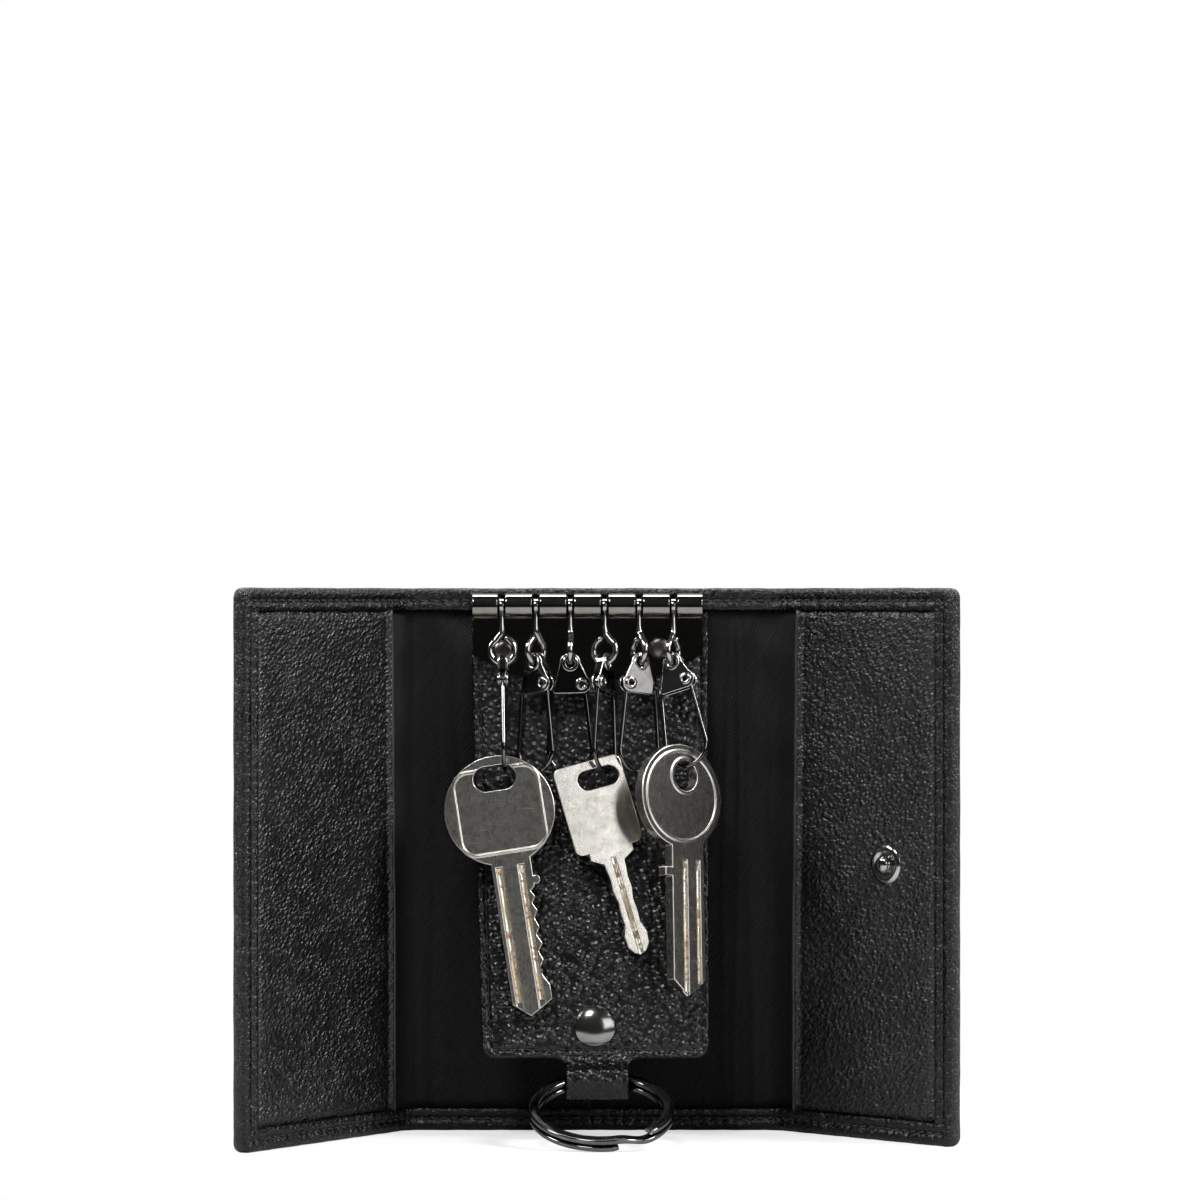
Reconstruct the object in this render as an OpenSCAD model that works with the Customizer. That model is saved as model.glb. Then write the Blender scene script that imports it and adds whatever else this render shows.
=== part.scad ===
// Tri-fold leather key case with a six hook key bar, a tongue with a split ring, and three keys.
// Lengths are millimetres and angles are degrees.
// The origin is the middle of the lower edge of the middle panel. X runs along that panel,
// Y runs from the front to the back, and Z is up. The lining's face is the plane Y = 0.

/* [Case] */
// Height of the case
panel_h = 110; // [104:1:120]
// Width of the middle panel, from fold to fold
centre_w = 76.5; // [74:0.5:84]
// Width of the left flap, from its fold to its free edge
left_w = 55; // [52:0.5:60]
// Width of the right flap, from its fold to its free edge
right_w = 48; // [44:0.5:54]
// Thickness of the outer leather
leather_t = 1; // [0.8:0.05:1.2]
// Width of the leather turned over at each edge
hem_w = 4.5; // [3.5:0.1:5.5]
// Thickness of the cloth lining
lining_t = 0.3; // [0.2:0.05:0.4]
// Thickness of the board behind the lining
board_t = 1.1; // [0.9:0.05:1.3]
// Thickness of the leather that faces each flap
facing_t = 0.9; // [0.7:0.05:1]
// Radius of the case's outer corners
corner_r = 1.6; // [0.8:0.1:3]
// Distance from a fold to the flap's facing
facing_setback = 6; // [5:0.5:9]
// Distance from a fold to the hems and the lining's edge
hem_setback = 4.4; // [4.2:0.1:5]
// Angle that the left flap is folded forward from the middle panel's plane
left_angle = 56; // [40:1:60]
// Angle that the right flap is folded forward from the middle panel's plane
right_angle = 45; // [35:1:55]

/* [Snap] */
// Distance from the left flap's free edge to the snap's socket
socket_in = 8.8; // [8:0.1:11]
// Height of the snap above the lower edge
snap_z = 55; // [50:1:60]
// Radius of the stud's flange
flange_r = 4; // [3.5:0.1:4.5]
// Height of the stud's flange
flange_h = 0.6; // [0.4:0.1:0.8]
// Radius of the stud's knob
knob_r = 1.7; // [1.4:0.05:2]
// Height of the stud's knob above its flange
knob_h = 1.7; // [1.4:0.1:2]
// Radius of the post that goes through the leather
post_r = 1.1; // [0.9:0.05:1.3]
// Radius of the cap on the outside of the right flap
cap_r = 5.5; // [5:0.1:6.5]
// Height of that cap
cap_h = 1.6; // [1.2:0.1:2.2]
// Radius of the socket on the outside of the left flap
socket_r = 5; // [4.5:0.1:6]
// Height of the socket
socket_h = 2; // [1.9:0.1:2.5]
// Radius of the washer under the left facing
washer_r = 3.8; // [3:0.1:4.5]
// Thickness of that washer
washer_h = 0.3; // [0.2:0.05:0.4]

/* [Key bar] */
// Length of the key bar
bar_w = 46.4; // [46:0.1:50]
// Distance of the bar's middle to the right of the case's middle
bar_x = -0.8; // [-2:0.1:2]
// Distance from the top of the case to the tube's axis
tube_drop = 3.6; // [3:0.1:5]
// Outer radius of the rolled tube
tube_r = 2.45; // [2.3:0.05:2.7]
// Thickness of the bar's sheet
bar_sheet = 0.45; // [0.4:0.05:0.5]
// Distance between two neighbouring hooks
pitch = 6.95; // [6.9:0.05:7.3]
// Width of the slots in the tube
slot_w = 1.65; // [1.4:0.05:1.9]
// Distance from the tube's axis to the plate's lower edge
plate_drop = 14.2; // [13.5:0.1:14.6]
// Distance from the tube's axis to the lower end of the plate's sides
side_drop = 9.9; // [9:0.1:11]
// Width that each slanted corner takes from the plate's lower edge
slant_w = 9.1; // [7:0.1:10]
// Radius of the bar rivets' heads
bar_rivet_r = 1.35; // [1.2:0.05:1.6]

/* [Eye pins] */
// Radius of the pins' wire
pin_r = 0.5; // [0.4:0.05:0.55]
// Radius of the pins' heads in the tube
head_r = 1.5; // [1.2:0.05:1.7]
// Radius of the eye, to the middle of its wire
eye_r = 2.5; // [2.3:0.05:2.7]
// Distance from the tube's axis to the middle of the eye's lowest wire
eyelet_drop = 11.7; // [11:0.1:12.2]
// Distance from the eye's middle to the point where its sides meet the shank
neck_up = 3.9; // [3.6:0.1:4.4]

/* [Hooks] */
// Thickness of the sheet that a hook's plate is folded from
plate_sheet = 0.3; // [0.25:0.05:0.4]
// Radius of a wire loop's wire
wire_r = 0.45; // [0.4:0.05:0.5]
// Radius of the hole in the eyelet
eyelet_r = 1; // [0.95:0.05:1.05]
// Radius of a plate's upper end
plate_top_r = 2.1; // [1.9:0.05:2.3]
// Radius of the plate's corner round the rivet
plate_end_r = 1.85; // [1.7:0.05:2]
// Distance of the rivet beside the eyelet
rivet_x = 2.35; // [2.1:0.05:2.6]
// Distance of the rivet below the eyelet
rivet_down = 4.2; // [3.9:0.1:4.6]
// Radius of the tubular rivet's shank
rivet_r = 0.8; // [0.7:0.05:0.85]
// Radius of the rivet's bore
rivet_bore = 0.55; // [0.4:0.05:0.6]
// Radius of the rivet's rolled heads
rivet_head_r = 1.35; // [1.2:0.05:1.5]
// Thickness of the rivet's rolled heads
rivet_head_h = 0.4; // [0.3:0.05:0.5]
// Radius of the round lower end of a wire loop, to the middle of its wire
loop_r = 4.4; // [4.2:0.05:4.5]
// Distance from the eyelet to the middle of the loop's lowest wire
loop_drop = 22.1; // [21.4:0.1:22.4]

/* [Tongue and ring] */
// Width of the tongue at its top
tongue_top_w = 47.8; // [47:0.1:50]
// Distance of the tongue's top middle from the case's middle
tongue_top_x = -0.3; // [-1:0.1:1]
// Width of the tongue at its lower end
tongue_end_w = 45.3; // [44:0.1:47.5]
// Distance of the tongue's lower middle from the case's middle
tongue_end_x = 0.85; // [0:0.05:1.5]
// Thickness of the tongue's front leather
tongue_front_t = 1; // [0.8:0.05:1.1]
// Thickness of the tongue's back leather
tongue_back_t = 0.8; // [0.6:0.05:0.9]
// Height of the tongue's lower end above the case's lower edge
tongue_end_z = 16.1; // [15.5:0.1:17]
// Radius of the tongue's lower corners
tongue_corner_r = 2.8; // [2:0.1:4]
// Angle that the tongue leans forward
tongue_lean = 12; // [11:0.5:12]
// Radius of the cap rivet on the tongue
button_r = 4.25; // [3.8:0.05:4.7]
// Height of the cap rivet
button_h = 1.3; // [1:0.1:1.6]
// Distance of the cap rivet above the tongue's lower end
button_up = 6.3; // [6:0.1:8]
// Width of the tab that holds the ring
tab_w = 12.4; // [11.5:0.1:12.6]
// Radius of the tab's fold
tab_r = 4; // [3.9:0.05:4.2]
// Distance from the tongue's lower end to the middle of the tab's fold
tab_drop = 4.3; // [4.2:0.1:4.8]
// Outer radius of the split ring
ring_r = 14.35; // [13.5:0.05:15]
// Width of the ring's flat wire
ring_wire_w = 2.2; // [1.9:0.05:2.3]
// Thickness of one turn of the ring
ring_wire_t = 1.05; // [0.9:0.05:1.1]

/* [Keys] */
// Thickness of the first and third key
key_t = 2.2; // [1.8:0.1:2.4]
// Thickness of the second key
small_key_t = 2; // [1.6:0.1:2.1]
// Radius of the first key's round head
round_head_r = 11.1; // [11:0.05:11.6]
// Width of the second key's head
square_head_w = 14.2; // [13.8:0.1:14.5]
// Height of the second key's head
square_head_h = 18.2; // [17.5:0.1:19]
// Radius of the third key's head
oval_head_r = 10.4; // [9.8:0.1:10.8]
// Radius of the third key's hole
oval_hole_r = 3.05; // [2.8:0.05:3.2]

/* [Hidden] */

// Facets of large and of small circles
$fn = 64;
small_fn = 32;
// Overrun of every cut
over = 1;
// Clearance round a post, a rivet or a wire that turns
fit_gap = 0.05;

// Case: depths of the layers, from the lining's face
stack_t = lining_t + board_t;
back_y = stack_t + leather_t;
// The fold's axis runs in the middle of the case's thickness
fold_y = back_y / 2;
fold_r = back_y / 2;
fold_x = centre_w / 2;
// Gap between a fold's round spine and the flap's skin
spine_gap = 0.2;
skin_root = fold_r + spine_gap;
// Distance from a fold to the boards and the lining
core_setback = 2.5;
flap_board_t = stack_t - facing_t;

// Snap: the socket's distance from the left fold, and the stud's from the right fold, which meet when closed
socket_at = left_w - socket_in;
stud_at = centre_w - socket_at;
knob_neck_r = knob_r - 0.3 * knob_r;
knob_ball_share = 0.55;
socket_bore = knob_r + 0.15 * knob_r;

// Key bar
tongue_t = tongue_front_t + tongue_back_t;
plate_back_y = -tongue_t;
tube_y = plate_back_y - tube_r;
tube_z = panel_h - tube_drop;
plate_front_y = plate_back_y - bar_sheet;
// How far the slots cut behind the tube's axis
slot_back = 0.8;
// Places of the two bar rivets beside the bar's middle, and below the tube's axis
bar_rivet_at = [[-16.9, 9.1], [14.5, 8.5]];
bar_rivet_h = 0.6;
bar_shank_r = 0.6;

// Hooks: how each one hangs, from left to right
hook_count = 6;
// Lean of the pins to the front, and roll of the pins to the right
pin_lean = [8, 8, 8, 8, 8, 8];
pin_roll = [1.3, 0, 0, 0, 0, 0];
// Lean of the hooks, their turn about the upright, and their tilt in their own plane
hook_lean = [18.5, 8, 3, 12.5, 10, 18];
hook_turn = [-90, -40, 0, -118, -150, -25];
hook_tilt = [0, 0, 0, 0, 0, 8.5];
// Sizes of the plates
plate_gap = 2 * wire_r + 2 * fit_gap;
plate_t = plate_gap + 2 * plate_sheet;
foot_x = -2.9;
foot_down = 5.6;
foot_r = 0.6;
crimp_down = 2.3;
emboss_in = eyelet_r + 0.15;
emboss_out = emboss_in + 0.3;
emboss_h = 0.12;
// Sizes of the wire loops
wire_eye_r = rivet_r + 0.65;
wire_eye_t = 2 * wire_r - 2 * fit_gap;
loop_mid = loop_drop - loop_r;
// A wire thins a little where it is bent
bend_thin = 0.03;
bend_wire_r = wire_r - bend_thin;
leg_reach = 0.2;
latch_x = -3.6;
latch_down = 4.6;

// Tongue: the line where it bends
hinge_drop = tube_drop + plate_drop + 1.2;
hinge_z = panel_h - hinge_drop;
hinge_y = -tongue_t / 2;
tongue_len = (hinge_z - tongue_end_z) / cos(tongue_lean);
tongue_top_drop = hem_w + 0.5;
bend_gap = 0.25;
button_x = 0.7;
tab_x = 1.2;
ring_x = 2;
button_post_r = 1.2;
button_washer_r = 3.4;
button_washer_h = 0.5;
// The tab's tail goes up behind the tongue
tail_t = 0.8;
tail_up = button_up + 5.5;
// Clearance between the tab and the ring at every angle
ring_gap = 0.2;
ring_mid_r = ring_r - ring_wire_w / 2;
ring_in_r = ring_r - ring_wire_w;
// Gap between the ring's two turns
turn_gap = 0.45;
turn_rise = (ring_wire_t + turn_gap) / 2;
ring_half_t = ring_wire_t + turn_gap / 2;
cross_angle = 30;
ring_steps = 72;
ring_bevel = 0.25;
pivot_z = hinge_z - (tongue_len + tab_drop) * cos(tongue_lean);
pivot_y = hinge_y - (tongue_len + tab_drop) * sin(tongue_lean);
// The ring leans until its lower edge meets the floor
ring_reach = norm([ring_mid_r + ring_r, ring_half_t]);
ring_tilt = atan2(ring_half_t, ring_mid_r + ring_r) + acos(min(1, pivot_z / ring_reach));

// Keys: the hook that each hangs on, its turn, its lean and its tilt
key_hook = [0, 3, 5];
key_turn = [0, 10, 40];
key_lean = [7.5, 11, 10.5];
key_tilt = [8.9, 16.6, 1];
// The middle of each key's hole, from the wire that it hangs on
hole_1 = [-2.25, -1.55];
hole_2 = [-2.2, -0.9];
hole_3 = [-0.5, -2.1];
// Width and height of the oblong holes
long_hole = [8.6, 5];
slot_hole = [8.6, 4];

// Places the children's X, Z outline as a plate from depth y0 to depth y1
module plate_xz(y0, y1) {
    rotate([90, 0, 0])
        translate([0, 0, -y1])
            linear_extrude(y1 - y0)
                children();
}

// A round bar along Y from y0 to y1
module post(r, y0, y1) {
    translate([0, y1, 0])
        rotate([90, 0, 0])
            cylinder(r = r, h = y1 - y0);
}

// A shallow dome of radius r and height h, whose flat side lies at Y = 0 and whose crown is in front
module dome(r, h) {
    ball_r = (r * r + h * h) / (2 * h);
    rotate([90, 0, 0])
        intersection() {
            translate([0, 0, h - ball_r])
                sphere(r = ball_r);
            cylinder(r = r, h = h);
        }
}

// A straight round wire between two points of the X, Z plane
module rod_xz(a, b, r) {
    d = b - a;
    translate([a[0], 0, a[1]])
        rotate([0, atan2(d[0], d[1]), 0])
            cylinder(r = r, h = norm(d), $fn = small_fn);
}

// A rectangle from one corner to the opposite one
module block(a, b) {
    translate(a)
        cube(b - a);
}

// A flat slot with round ends, centred on the origin
module stadium(w, h) {
    run = w / 2 - h / 2;
    square([2 * run, h], center = true);
    for (x = [-run, run])
        translate([x, 0])
            circle(r = h / 2);
}

// A rectangle with four round corners, given by its lower left corner
module round_rect(w, h, r) {
    translate([0, r])
        square([w, h - 2 * r]);
    translate([r, 0])
        square([w - 2 * r, h]);
    for (x = [r, w - r], z = [r, h - r])
        translate([x, z])
            circle(r = r);
}

// Case, middle panel: the skin, its turned edges and the two round spines of the folds
module back_leather() {
    color([0.09, 0.09, 0.09]) {
        block([-fold_x, stack_t, 0], [fold_x, back_y, panel_h]);
        for (side = [-1, 1])
            translate([side * fold_x, fold_y, 0])
                cylinder(r = fold_r, h = panel_h);
        hem_x = fold_x - hem_setback;
        block([-hem_x, -leather_t, 0], [hem_x, stack_t, leather_t]);
        block([-hem_x, -leather_t, panel_h - leather_t], [hem_x, stack_t, panel_h]);
        block([-hem_x, -leather_t, 0], [hem_x, 0, hem_w]);
        block([-hem_x, -leather_t, panel_h - hem_w], [hem_x, 0, panel_h]);
    }
}

// The layers between the skin and the hems, with the holes for the bar rivets' shanks
module centre_layer(y0, y1) {
    core_x = fold_x - core_setback;
    difference() {
        block([-core_x, y0, leather_t], [core_x, y1, panel_h - leather_t]);
        at_bar_rivets()
            post(bar_shank_r + fit_gap, y0 - over, y1 + over);
    }
}

module back_board() {
    color([0.55, 0.47, 0.36])
        centre_layer(lining_t, stack_t);
}

module lining() {
    color([0.05, 0.05, 0.055])
        centre_layer(0, lining_t);
}

// Flaps are drawn to the right of a fold's axis, in the middle panel's plane
module at_left_flap() {
    translate([-fold_x, fold_y, 0])
        rotate([0, 0, left_angle])
            mirror([1, 0, 0])
                translate([0, -fold_y, 0])
                    children();
}

module at_right_flap() {
    translate([fold_x, fold_y, 0])
        rotate([0, 0, -right_angle])
            translate([0, -fold_y, 0])
                children();
}

// The outline of a flap from a distance off the fold to its free edge, with round outer corners
module flap_outline(from, w) {
    translate([from, 0])
        square([w - corner_r - from, panel_h]);
    translate([from, corner_r])
        square([w - from, panel_h - 2 * corner_r]);
    for (z = [corner_r, panel_h - corner_r])
        translate([w - corner_r, z])
            circle(r = corner_r);
}

// A flap's outer leather, turned over at three edges
module flap_leather(w, hole_at) {
    difference() {
        union() {
            plate_xz(stack_t, back_y)
                flap_outline(skin_root, w);
            plate_xz(-leather_t, stack_t)
                flap_outline(hem_setback, w);
        }
        block([hem_setback - over, 0, leather_t], [w - leather_t, stack_t, panel_h - leather_t]);
        block([hem_setback - over, -leather_t - over, hem_w], [w - hem_w, over / 2, panel_h - hem_w]);
        translate([hole_at, 0, snap_z])
            post(post_r + fit_gap, 0, back_y + over);
    }
}

module left_leather() {
    color([0.09, 0.09, 0.09])
        at_left_flap()
            flap_leather(left_w, socket_at);
}

module right_leather() {
    color([0.09, 0.09, 0.09])
        at_right_flap()
            flap_leather(right_w, stud_at);
}

module left_board() {
    color([0.55, 0.47, 0.36])
        at_left_flap()
            difference() {
                block([core_setback, facing_t, leather_t], [left_w - leather_t, stack_t, panel_h - leather_t]);
                translate([socket_at, 0, snap_z]) {
                    post(post_r + fit_gap, 0, back_y);
                    post(washer_r + fit_gap, 0, facing_t + washer_h);
                }
            }
}

module right_board() {
    color([0.55, 0.47, 0.36])
        at_right_flap()
            difference() {
                block([core_setback, facing_t, leather_t], [right_w - leather_t, stack_t, panel_h - leather_t]);
                translate([stud_at, 0, snap_z])
                    post(post_r + fit_gap, 0, back_y);
            }
}

module left_facing() {
    color([0.1, 0.1, 0.1])
        at_left_flap()
            block([facing_setback, 0, leather_t], [left_w - leather_t, facing_t, panel_h - leather_t]);
}

module right_facing() {
    color([0.1, 0.1, 0.1])
        at_right_flap()
            difference() {
                block([facing_setback, 0, leather_t], [right_w - leather_t, facing_t, panel_h - leather_t]);
                translate([stud_at, 0, snap_z])
                    post(post_r + fit_gap, -over, facing_t + over);
            }
}

// Snap: the socket on the left flap's outside, with its post through the leather and board
module snap_socket() {
    color([0.3, 0.3, 0.32])
        at_left_flap()
            translate([socket_at, 0, snap_z])
                difference() {
                    union() {
                        post(socket_r, back_y, back_y + socket_h / 2);
                        post(socket_r * 0.8, back_y, back_y + socket_h);
                        post(post_r, facing_t + washer_h, back_y);
                    }
                    post(socket_bore, back_y + socket_h - knob_h, back_y + socket_h + over);
                }
}

module snap_washer() {
    color([0.3, 0.3, 0.32])
        at_left_flap()
            translate([socket_at, 0, snap_z])
                post(washer_r, facing_t, facing_t + washer_h);
}

// Snap: the stud on the right flap's inside, a flange, a necked knob and a post
module snap_stud() {
    color([0.3, 0.3, 0.32])
        at_right_flap()
            translate([stud_at, 0, snap_z]) {
                post(flange_r, -flange_h, 0);
                post(knob_neck_r, -flange_h - knob_h / 2, -flange_h);
                post(knob_r, -flange_h - knob_h, -flange_h - knob_h * (1 - knob_ball_share));
                post(post_r, 0, back_y);
            }
}

module snap_cap() {
    color([0.3, 0.3, 0.32])
        at_right_flap()
            translate([stud_at, back_y, snap_z])
                mirror([0, 1, 0])
                    dome(cap_r, cap_h);
}

// Key bar: a rolled tube with a slot for each pin, and a plate below it
module key_bar() {
    left = bar_x - bar_w / 2;
    color([0.16, 0.16, 0.17])
        difference() {
            union() {
                translate([left, tube_y, tube_z])
                    rotate([0, 90, 0])
                        cylinder(r = tube_r, h = bar_w);
                translate([bar_x, 0, tube_z])
                    plate_xz(plate_front_y, plate_back_y)
                        polygon([
                            [-bar_w / 2, 0], [bar_w / 2, 0], [bar_w / 2, -side_drop],
                            [bar_w / 2 - slant_w, -plate_drop], [slant_w - bar_w / 2, -plate_drop],
                            [-bar_w / 2, -side_drop]
                        ]);
            }
            translate([left - over, tube_y, tube_z])
                rotate([0, 90, 0])
                    cylinder(r = tube_r - bar_sheet, h = bar_w + 2 * over);
            for (i = [0:hook_count - 1])
                translate([pin_x(i), tube_y, tube_z])
                    block([-slot_w / 2, -tube_r - over, -tube_r - over], [slot_w / 2, slot_back, tube_r + over]);
            at_bar_rivets()
                post(bar_shank_r + fit_gap, plate_front_y - over, plate_back_y + over);
        }
}

module at_bar_rivets() {
    for (p = bar_rivet_at)
        translate([bar_x + p[0], 0, tube_z - p[1]])
            children();
}

module bar_rivets() {
    color([0.2, 0.2, 0.21])
        at_bar_rivets() {
            post(bar_shank_r, plate_front_y, stack_t);
            translate([0, plate_front_y, 0])
                dome(bar_rivet_r, bar_rivet_h);
        }
}

// The middle of pin i's slot
function pin_x(i) = bar_x + (i - (hook_count - 1) / 2) * pitch;

// The frame of pin i: its origin is on the tube's axis, and its shank runs down
module at_pin(i) {
    translate([pin_x(i), tube_y, tube_z])
        rotate([0, -pin_roll[i], 0])
            rotate([-pin_lean[i], 0, 0])
                children();
}

// The point b, passed a little on the way from a, so that a straight wire ends inside a bend
function reach(a, b) = b + (b - a) / norm(b - a) * leg_reach;

// A headed pin whose wire is bent to an open, drop shaped eye, square to its hook's plate
module eye_pin(i) {
    neck_turn = acos(eye_r / neck_up);
    meet = [eye_r * sin(neck_turn), eye_r * cos(neck_turn)];
    top = [0, neck_up];
    free_end = meet + (top - meet) * 0.6;
    color([0.35, 0.35, 0.37])
        at_pin(i) {
            sphere(r = head_r);
            rotate([180, 0, 0])
                cylinder(r = pin_r, h = eyelet_drop - eye_r - neck_up, $fn = small_fn);
            translate([0, 0, eye_r - eyelet_drop])
                rotate([0, 0, hook_turn[i] + 90]) {
                    rotate([90, 0, 0])
                        rotate([0, 0, 90 + neck_turn])
                            rotate_extrude(angle = 360 - 2 * neck_turn)
                                translate([eye_r, 0])
                                    circle(r = pin_r - bend_thin, $fn = small_fn);
                    rod_xz(top, reach(top, [-meet[0], meet[1]]), pin_r);
                    rod_xz(free_end, reach(free_end, meet), pin_r);
                    translate([0, 0, neck_up])
                        sphere(r = pin_r + bend_thin, $fn = small_fn);
                }
        }
}

// The frame of hook i: its origin is the eyelet, and its plate is the X, Z plane
module at_hook(i) {
    at_pin(i)
        translate([0, 0, -eyelet_drop])
            rotate([pin_lean[i] - hook_lean[i], 0, 0])
                rotate([0, 0, hook_turn[i]])
                    rotate([0, -hook_tilt[i], 0])
                        children();
}

module hook_outline() {
    circle(r = plate_top_r);
    translate([rivet_x, -rivet_down])
        circle(r = plate_end_r);
    translate([foot_x, -foot_down])
        circle(r = foot_r, $fn = small_fn);
    polygon([
        [-plate_top_r, 0], [foot_x - foot_r, -foot_down], [foot_x, -foot_down - foot_r],
        [rivet_x, -rivet_down - plate_end_r], [rivet_x + plate_end_r, -rivet_down],
        [plate_top_r, 0]
    ]);
}

// A sheet folded over at the eyelet, with a gap between its two leaves for the wire
module hook_plate(i) {
    color([0.18, 0.18, 0.19])
        at_hook(i)
            difference() {
                union() {
                    plate_xz(-plate_t / 2, plate_t / 2)
                        hook_outline();
                    post(emboss_out, -plate_t / 2 - emboss_h, plate_t / 2 + emboss_h);
                }
                for (side = [-1, 1])
                    translate([0, side * (plate_t + emboss_h) / 2, 0])
                        post(emboss_in, -emboss_h / 2, emboss_h / 2);
                post(eyelet_r, -plate_t, plate_t);
                block([foot_x - plate_end_r, -plate_gap / 2, -foot_down - plate_end_r],
                      [rivet_x + 2 * plate_end_r, plate_gap / 2, -crimp_down]);
                translate([rivet_x, 0, -rivet_down])
                    post(rivet_r + fit_gap, -plate_t, plate_t);
            }
}

// A tubular rivet with rolled heads, on which the wire turns
module hook_rivet(i) {
    head_y = plate_t / 2 + rivet_head_h;
    color([0.3, 0.3, 0.32])
        at_hook(i)
            translate([rivet_x, 0, -rivet_down])
                difference() {
                    union() {
                        post(rivet_r, -head_y, head_y);
                        post(rivet_head_r, -head_y, -plate_t / 2);
                        post(rivet_head_r, plate_t / 2, head_y);
                    }
                    post(rivet_bore, -head_y - over, head_y + over);
                }
}

// Angle round a circle of radius r at which a line from the point p touches it, on one side
function touch(p, r, side) = atan2(p[1], p[0]) - side * acos(r / norm(p));

// A wire loop: an eye round the rivet, two legs, a round lower end, and a tip between the leaves
module hook_wire(i) {
    centre = [0, -loop_mid];
    from = [rivet_x + wire_r, -rivet_down];
    to = [latch_x, -latch_down];
    right = touch(from - centre, loop_r, 1);
    left = touch(to - centre, loop_r, -1);
    color([0.4, 0.4, 0.42])
        at_hook(i)
            difference() {
                union() {
                    translate([rivet_x, 0, -rivet_down])
                        post(wire_eye_r, -wire_eye_t / 2, wire_eye_t / 2);
                    rod_xz(from, reach(from, centre + loop_r * [cos(right), sin(right)]), wire_r);
                    rod_xz(to, reach(to, centre + loop_r * [cos(left), sin(left)]), wire_r);
                    translate([0, 0, -loop_mid])
                        rotate([90, 0, 0])
                            rotate([0, 0, left])
                                rotate_extrude(angle = 360 + right - left)
                                    translate([loop_r, 0])
                                        circle(r = bend_wire_r, $fn = small_fn);
                }
                translate([rivet_x, 0, -rivet_down])
                    post(rivet_r + fit_gap, -plate_t, plate_t);
            }
}

// Tongue: the part clamped behind the bar's plate
module tongue_head() {
    half = tongue_top_w / 2;
    color([0.1, 0.1, 0.1])
        difference() {
            block([tongue_top_x - half, -tongue_t, hinge_z + bend_gap],
                  [tongue_top_x + half, 0, panel_h - tongue_top_drop]);
            at_bar_rivets()
                post(bar_shank_r + fit_gap, -tongue_t - over, over);
        }
}

// The tongue's frame: its origin is the middle of the line where it bends
module at_tongue() {
    translate([0, hinge_y, hinge_z])
        rotate([-tongue_lean, 0, 0])
            children();
}

module tongue_outline() {
    top = -bend_gap;
    end = -tongue_len;
    left = [tongue_top_x - tongue_top_w / 2, tongue_end_x - tongue_end_w / 2];
    right = [tongue_top_x + tongue_top_w / 2, tongue_end_x + tongue_end_w / 2];
    polygon([
        [left[0], top], [left[1], end + tongue_corner_r], [left[1] + tongue_corner_r, end],
        [right[1] - tongue_corner_r, end], [right[1], end + tongue_corner_r], [right[0], top]
    ]);
    for (x = [left[1] + tongue_corner_r, right[1] - tongue_corner_r])
        translate([x, end + tongue_corner_r])
            circle(r = tongue_corner_r);
}

// One layer of the tongue, with the hole for the cap rivet's post
module tongue_layer(y0, y1) {
    at_tongue()
        difference() {
            plate_xz(y0, y1)
                tongue_outline();
            at_button()
                post(button_post_r + fit_gap, y0 - over, y1 + over);
        }
}

module at_button() {
    translate([button_x, 0, button_up - tongue_len])
        children();
}

module tongue_front() {
    color([0.1, 0.1, 0.1])
        tongue_layer(-tongue_t / 2, tongue_front_t - tongue_t / 2);
}

module tongue_back() {
    color([0.1, 0.1, 0.1])
        tongue_layer(tongue_front_t - tongue_t / 2, tongue_t / 2);
}

module tongue_button() {
    color([0.3, 0.3, 0.32])
        at_tongue()
            at_button() {
                post(button_post_r, -tongue_t / 2, tongue_t / 2 + tail_t);
                translate([0, -tongue_t / 2, 0])
                    dome(button_r, button_h);
            }
}

module tongue_washer() {
    color([0.3, 0.3, 0.32])
        at_tongue()
            at_button()
                post(button_washer_r, tongue_t / 2 + tail_t, tongue_t / 2 + tail_t + button_washer_h);
}

// Half the depth that the ring sweeps at a distance x from its middle, as it turns in the tab
function ring_sweep(x) =
    norm([ring_mid_r - sqrt(ring_in_r * ring_in_r - x * x), ring_half_t]) + ring_gap;

// The tab: a strip that leaves the tongue's lower edge, folds round the ring and goes up behind
module ring_tab() {
    cut_x = tab_w / 2 + ring_x - tab_x + over / 2;
    cut_steps = 8;
    fold_z = -tongue_len - tab_drop;
    shoulder = 35;
    color([0.1, 0.1, 0.1])
        at_tongue()
            difference() {
                union() {
                    translate([tab_x - tab_w / 2, 0, fold_z])
                        rotate([90, 0, 90])
                            linear_extrude(tab_w) {
                                circle(r = tab_r);
                                polygon([
                                    [-tongue_t / 2, tab_drop], [tongue_t / 2 + tail_t, tab_drop],
                                    [tab_r * cos(shoulder), tab_r * sin(shoulder)],
                                    [-tab_r * cos(shoulder), tab_r * sin(shoulder)]
                                ]);
                            }
                    block([tab_x - tab_w / 2, tongue_t / 2, -tongue_len - over / 2],
                          [tab_x + tab_w / 2, tongue_t / 2 + tail_t, tail_up - tongue_len]);
                }
                translate([ring_x, 0, fold_z])
                    rotate([0, 90, 0])
                        rotate_extrude()
                            polygon([
                                [0, -cut_x],
                                for (k = [-cut_steps:cut_steps])
                                    [ring_sweep(cut_x * k / cut_steps), cut_x * k / cut_steps],
                                [0, cut_x]
                            ]);
                at_button()
                    post(button_post_r + fit_gap, -over, tongue_t + tail_t);
            }
}

// Split ring: one flat wire that runs round twice and crosses over between its ends
function ring_level(t) =
    let (s = (t - (360 - cross_angle)) / cross_angle, c = max(0, min(1, s)))
    turn_rise * cos(180 * c);

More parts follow.
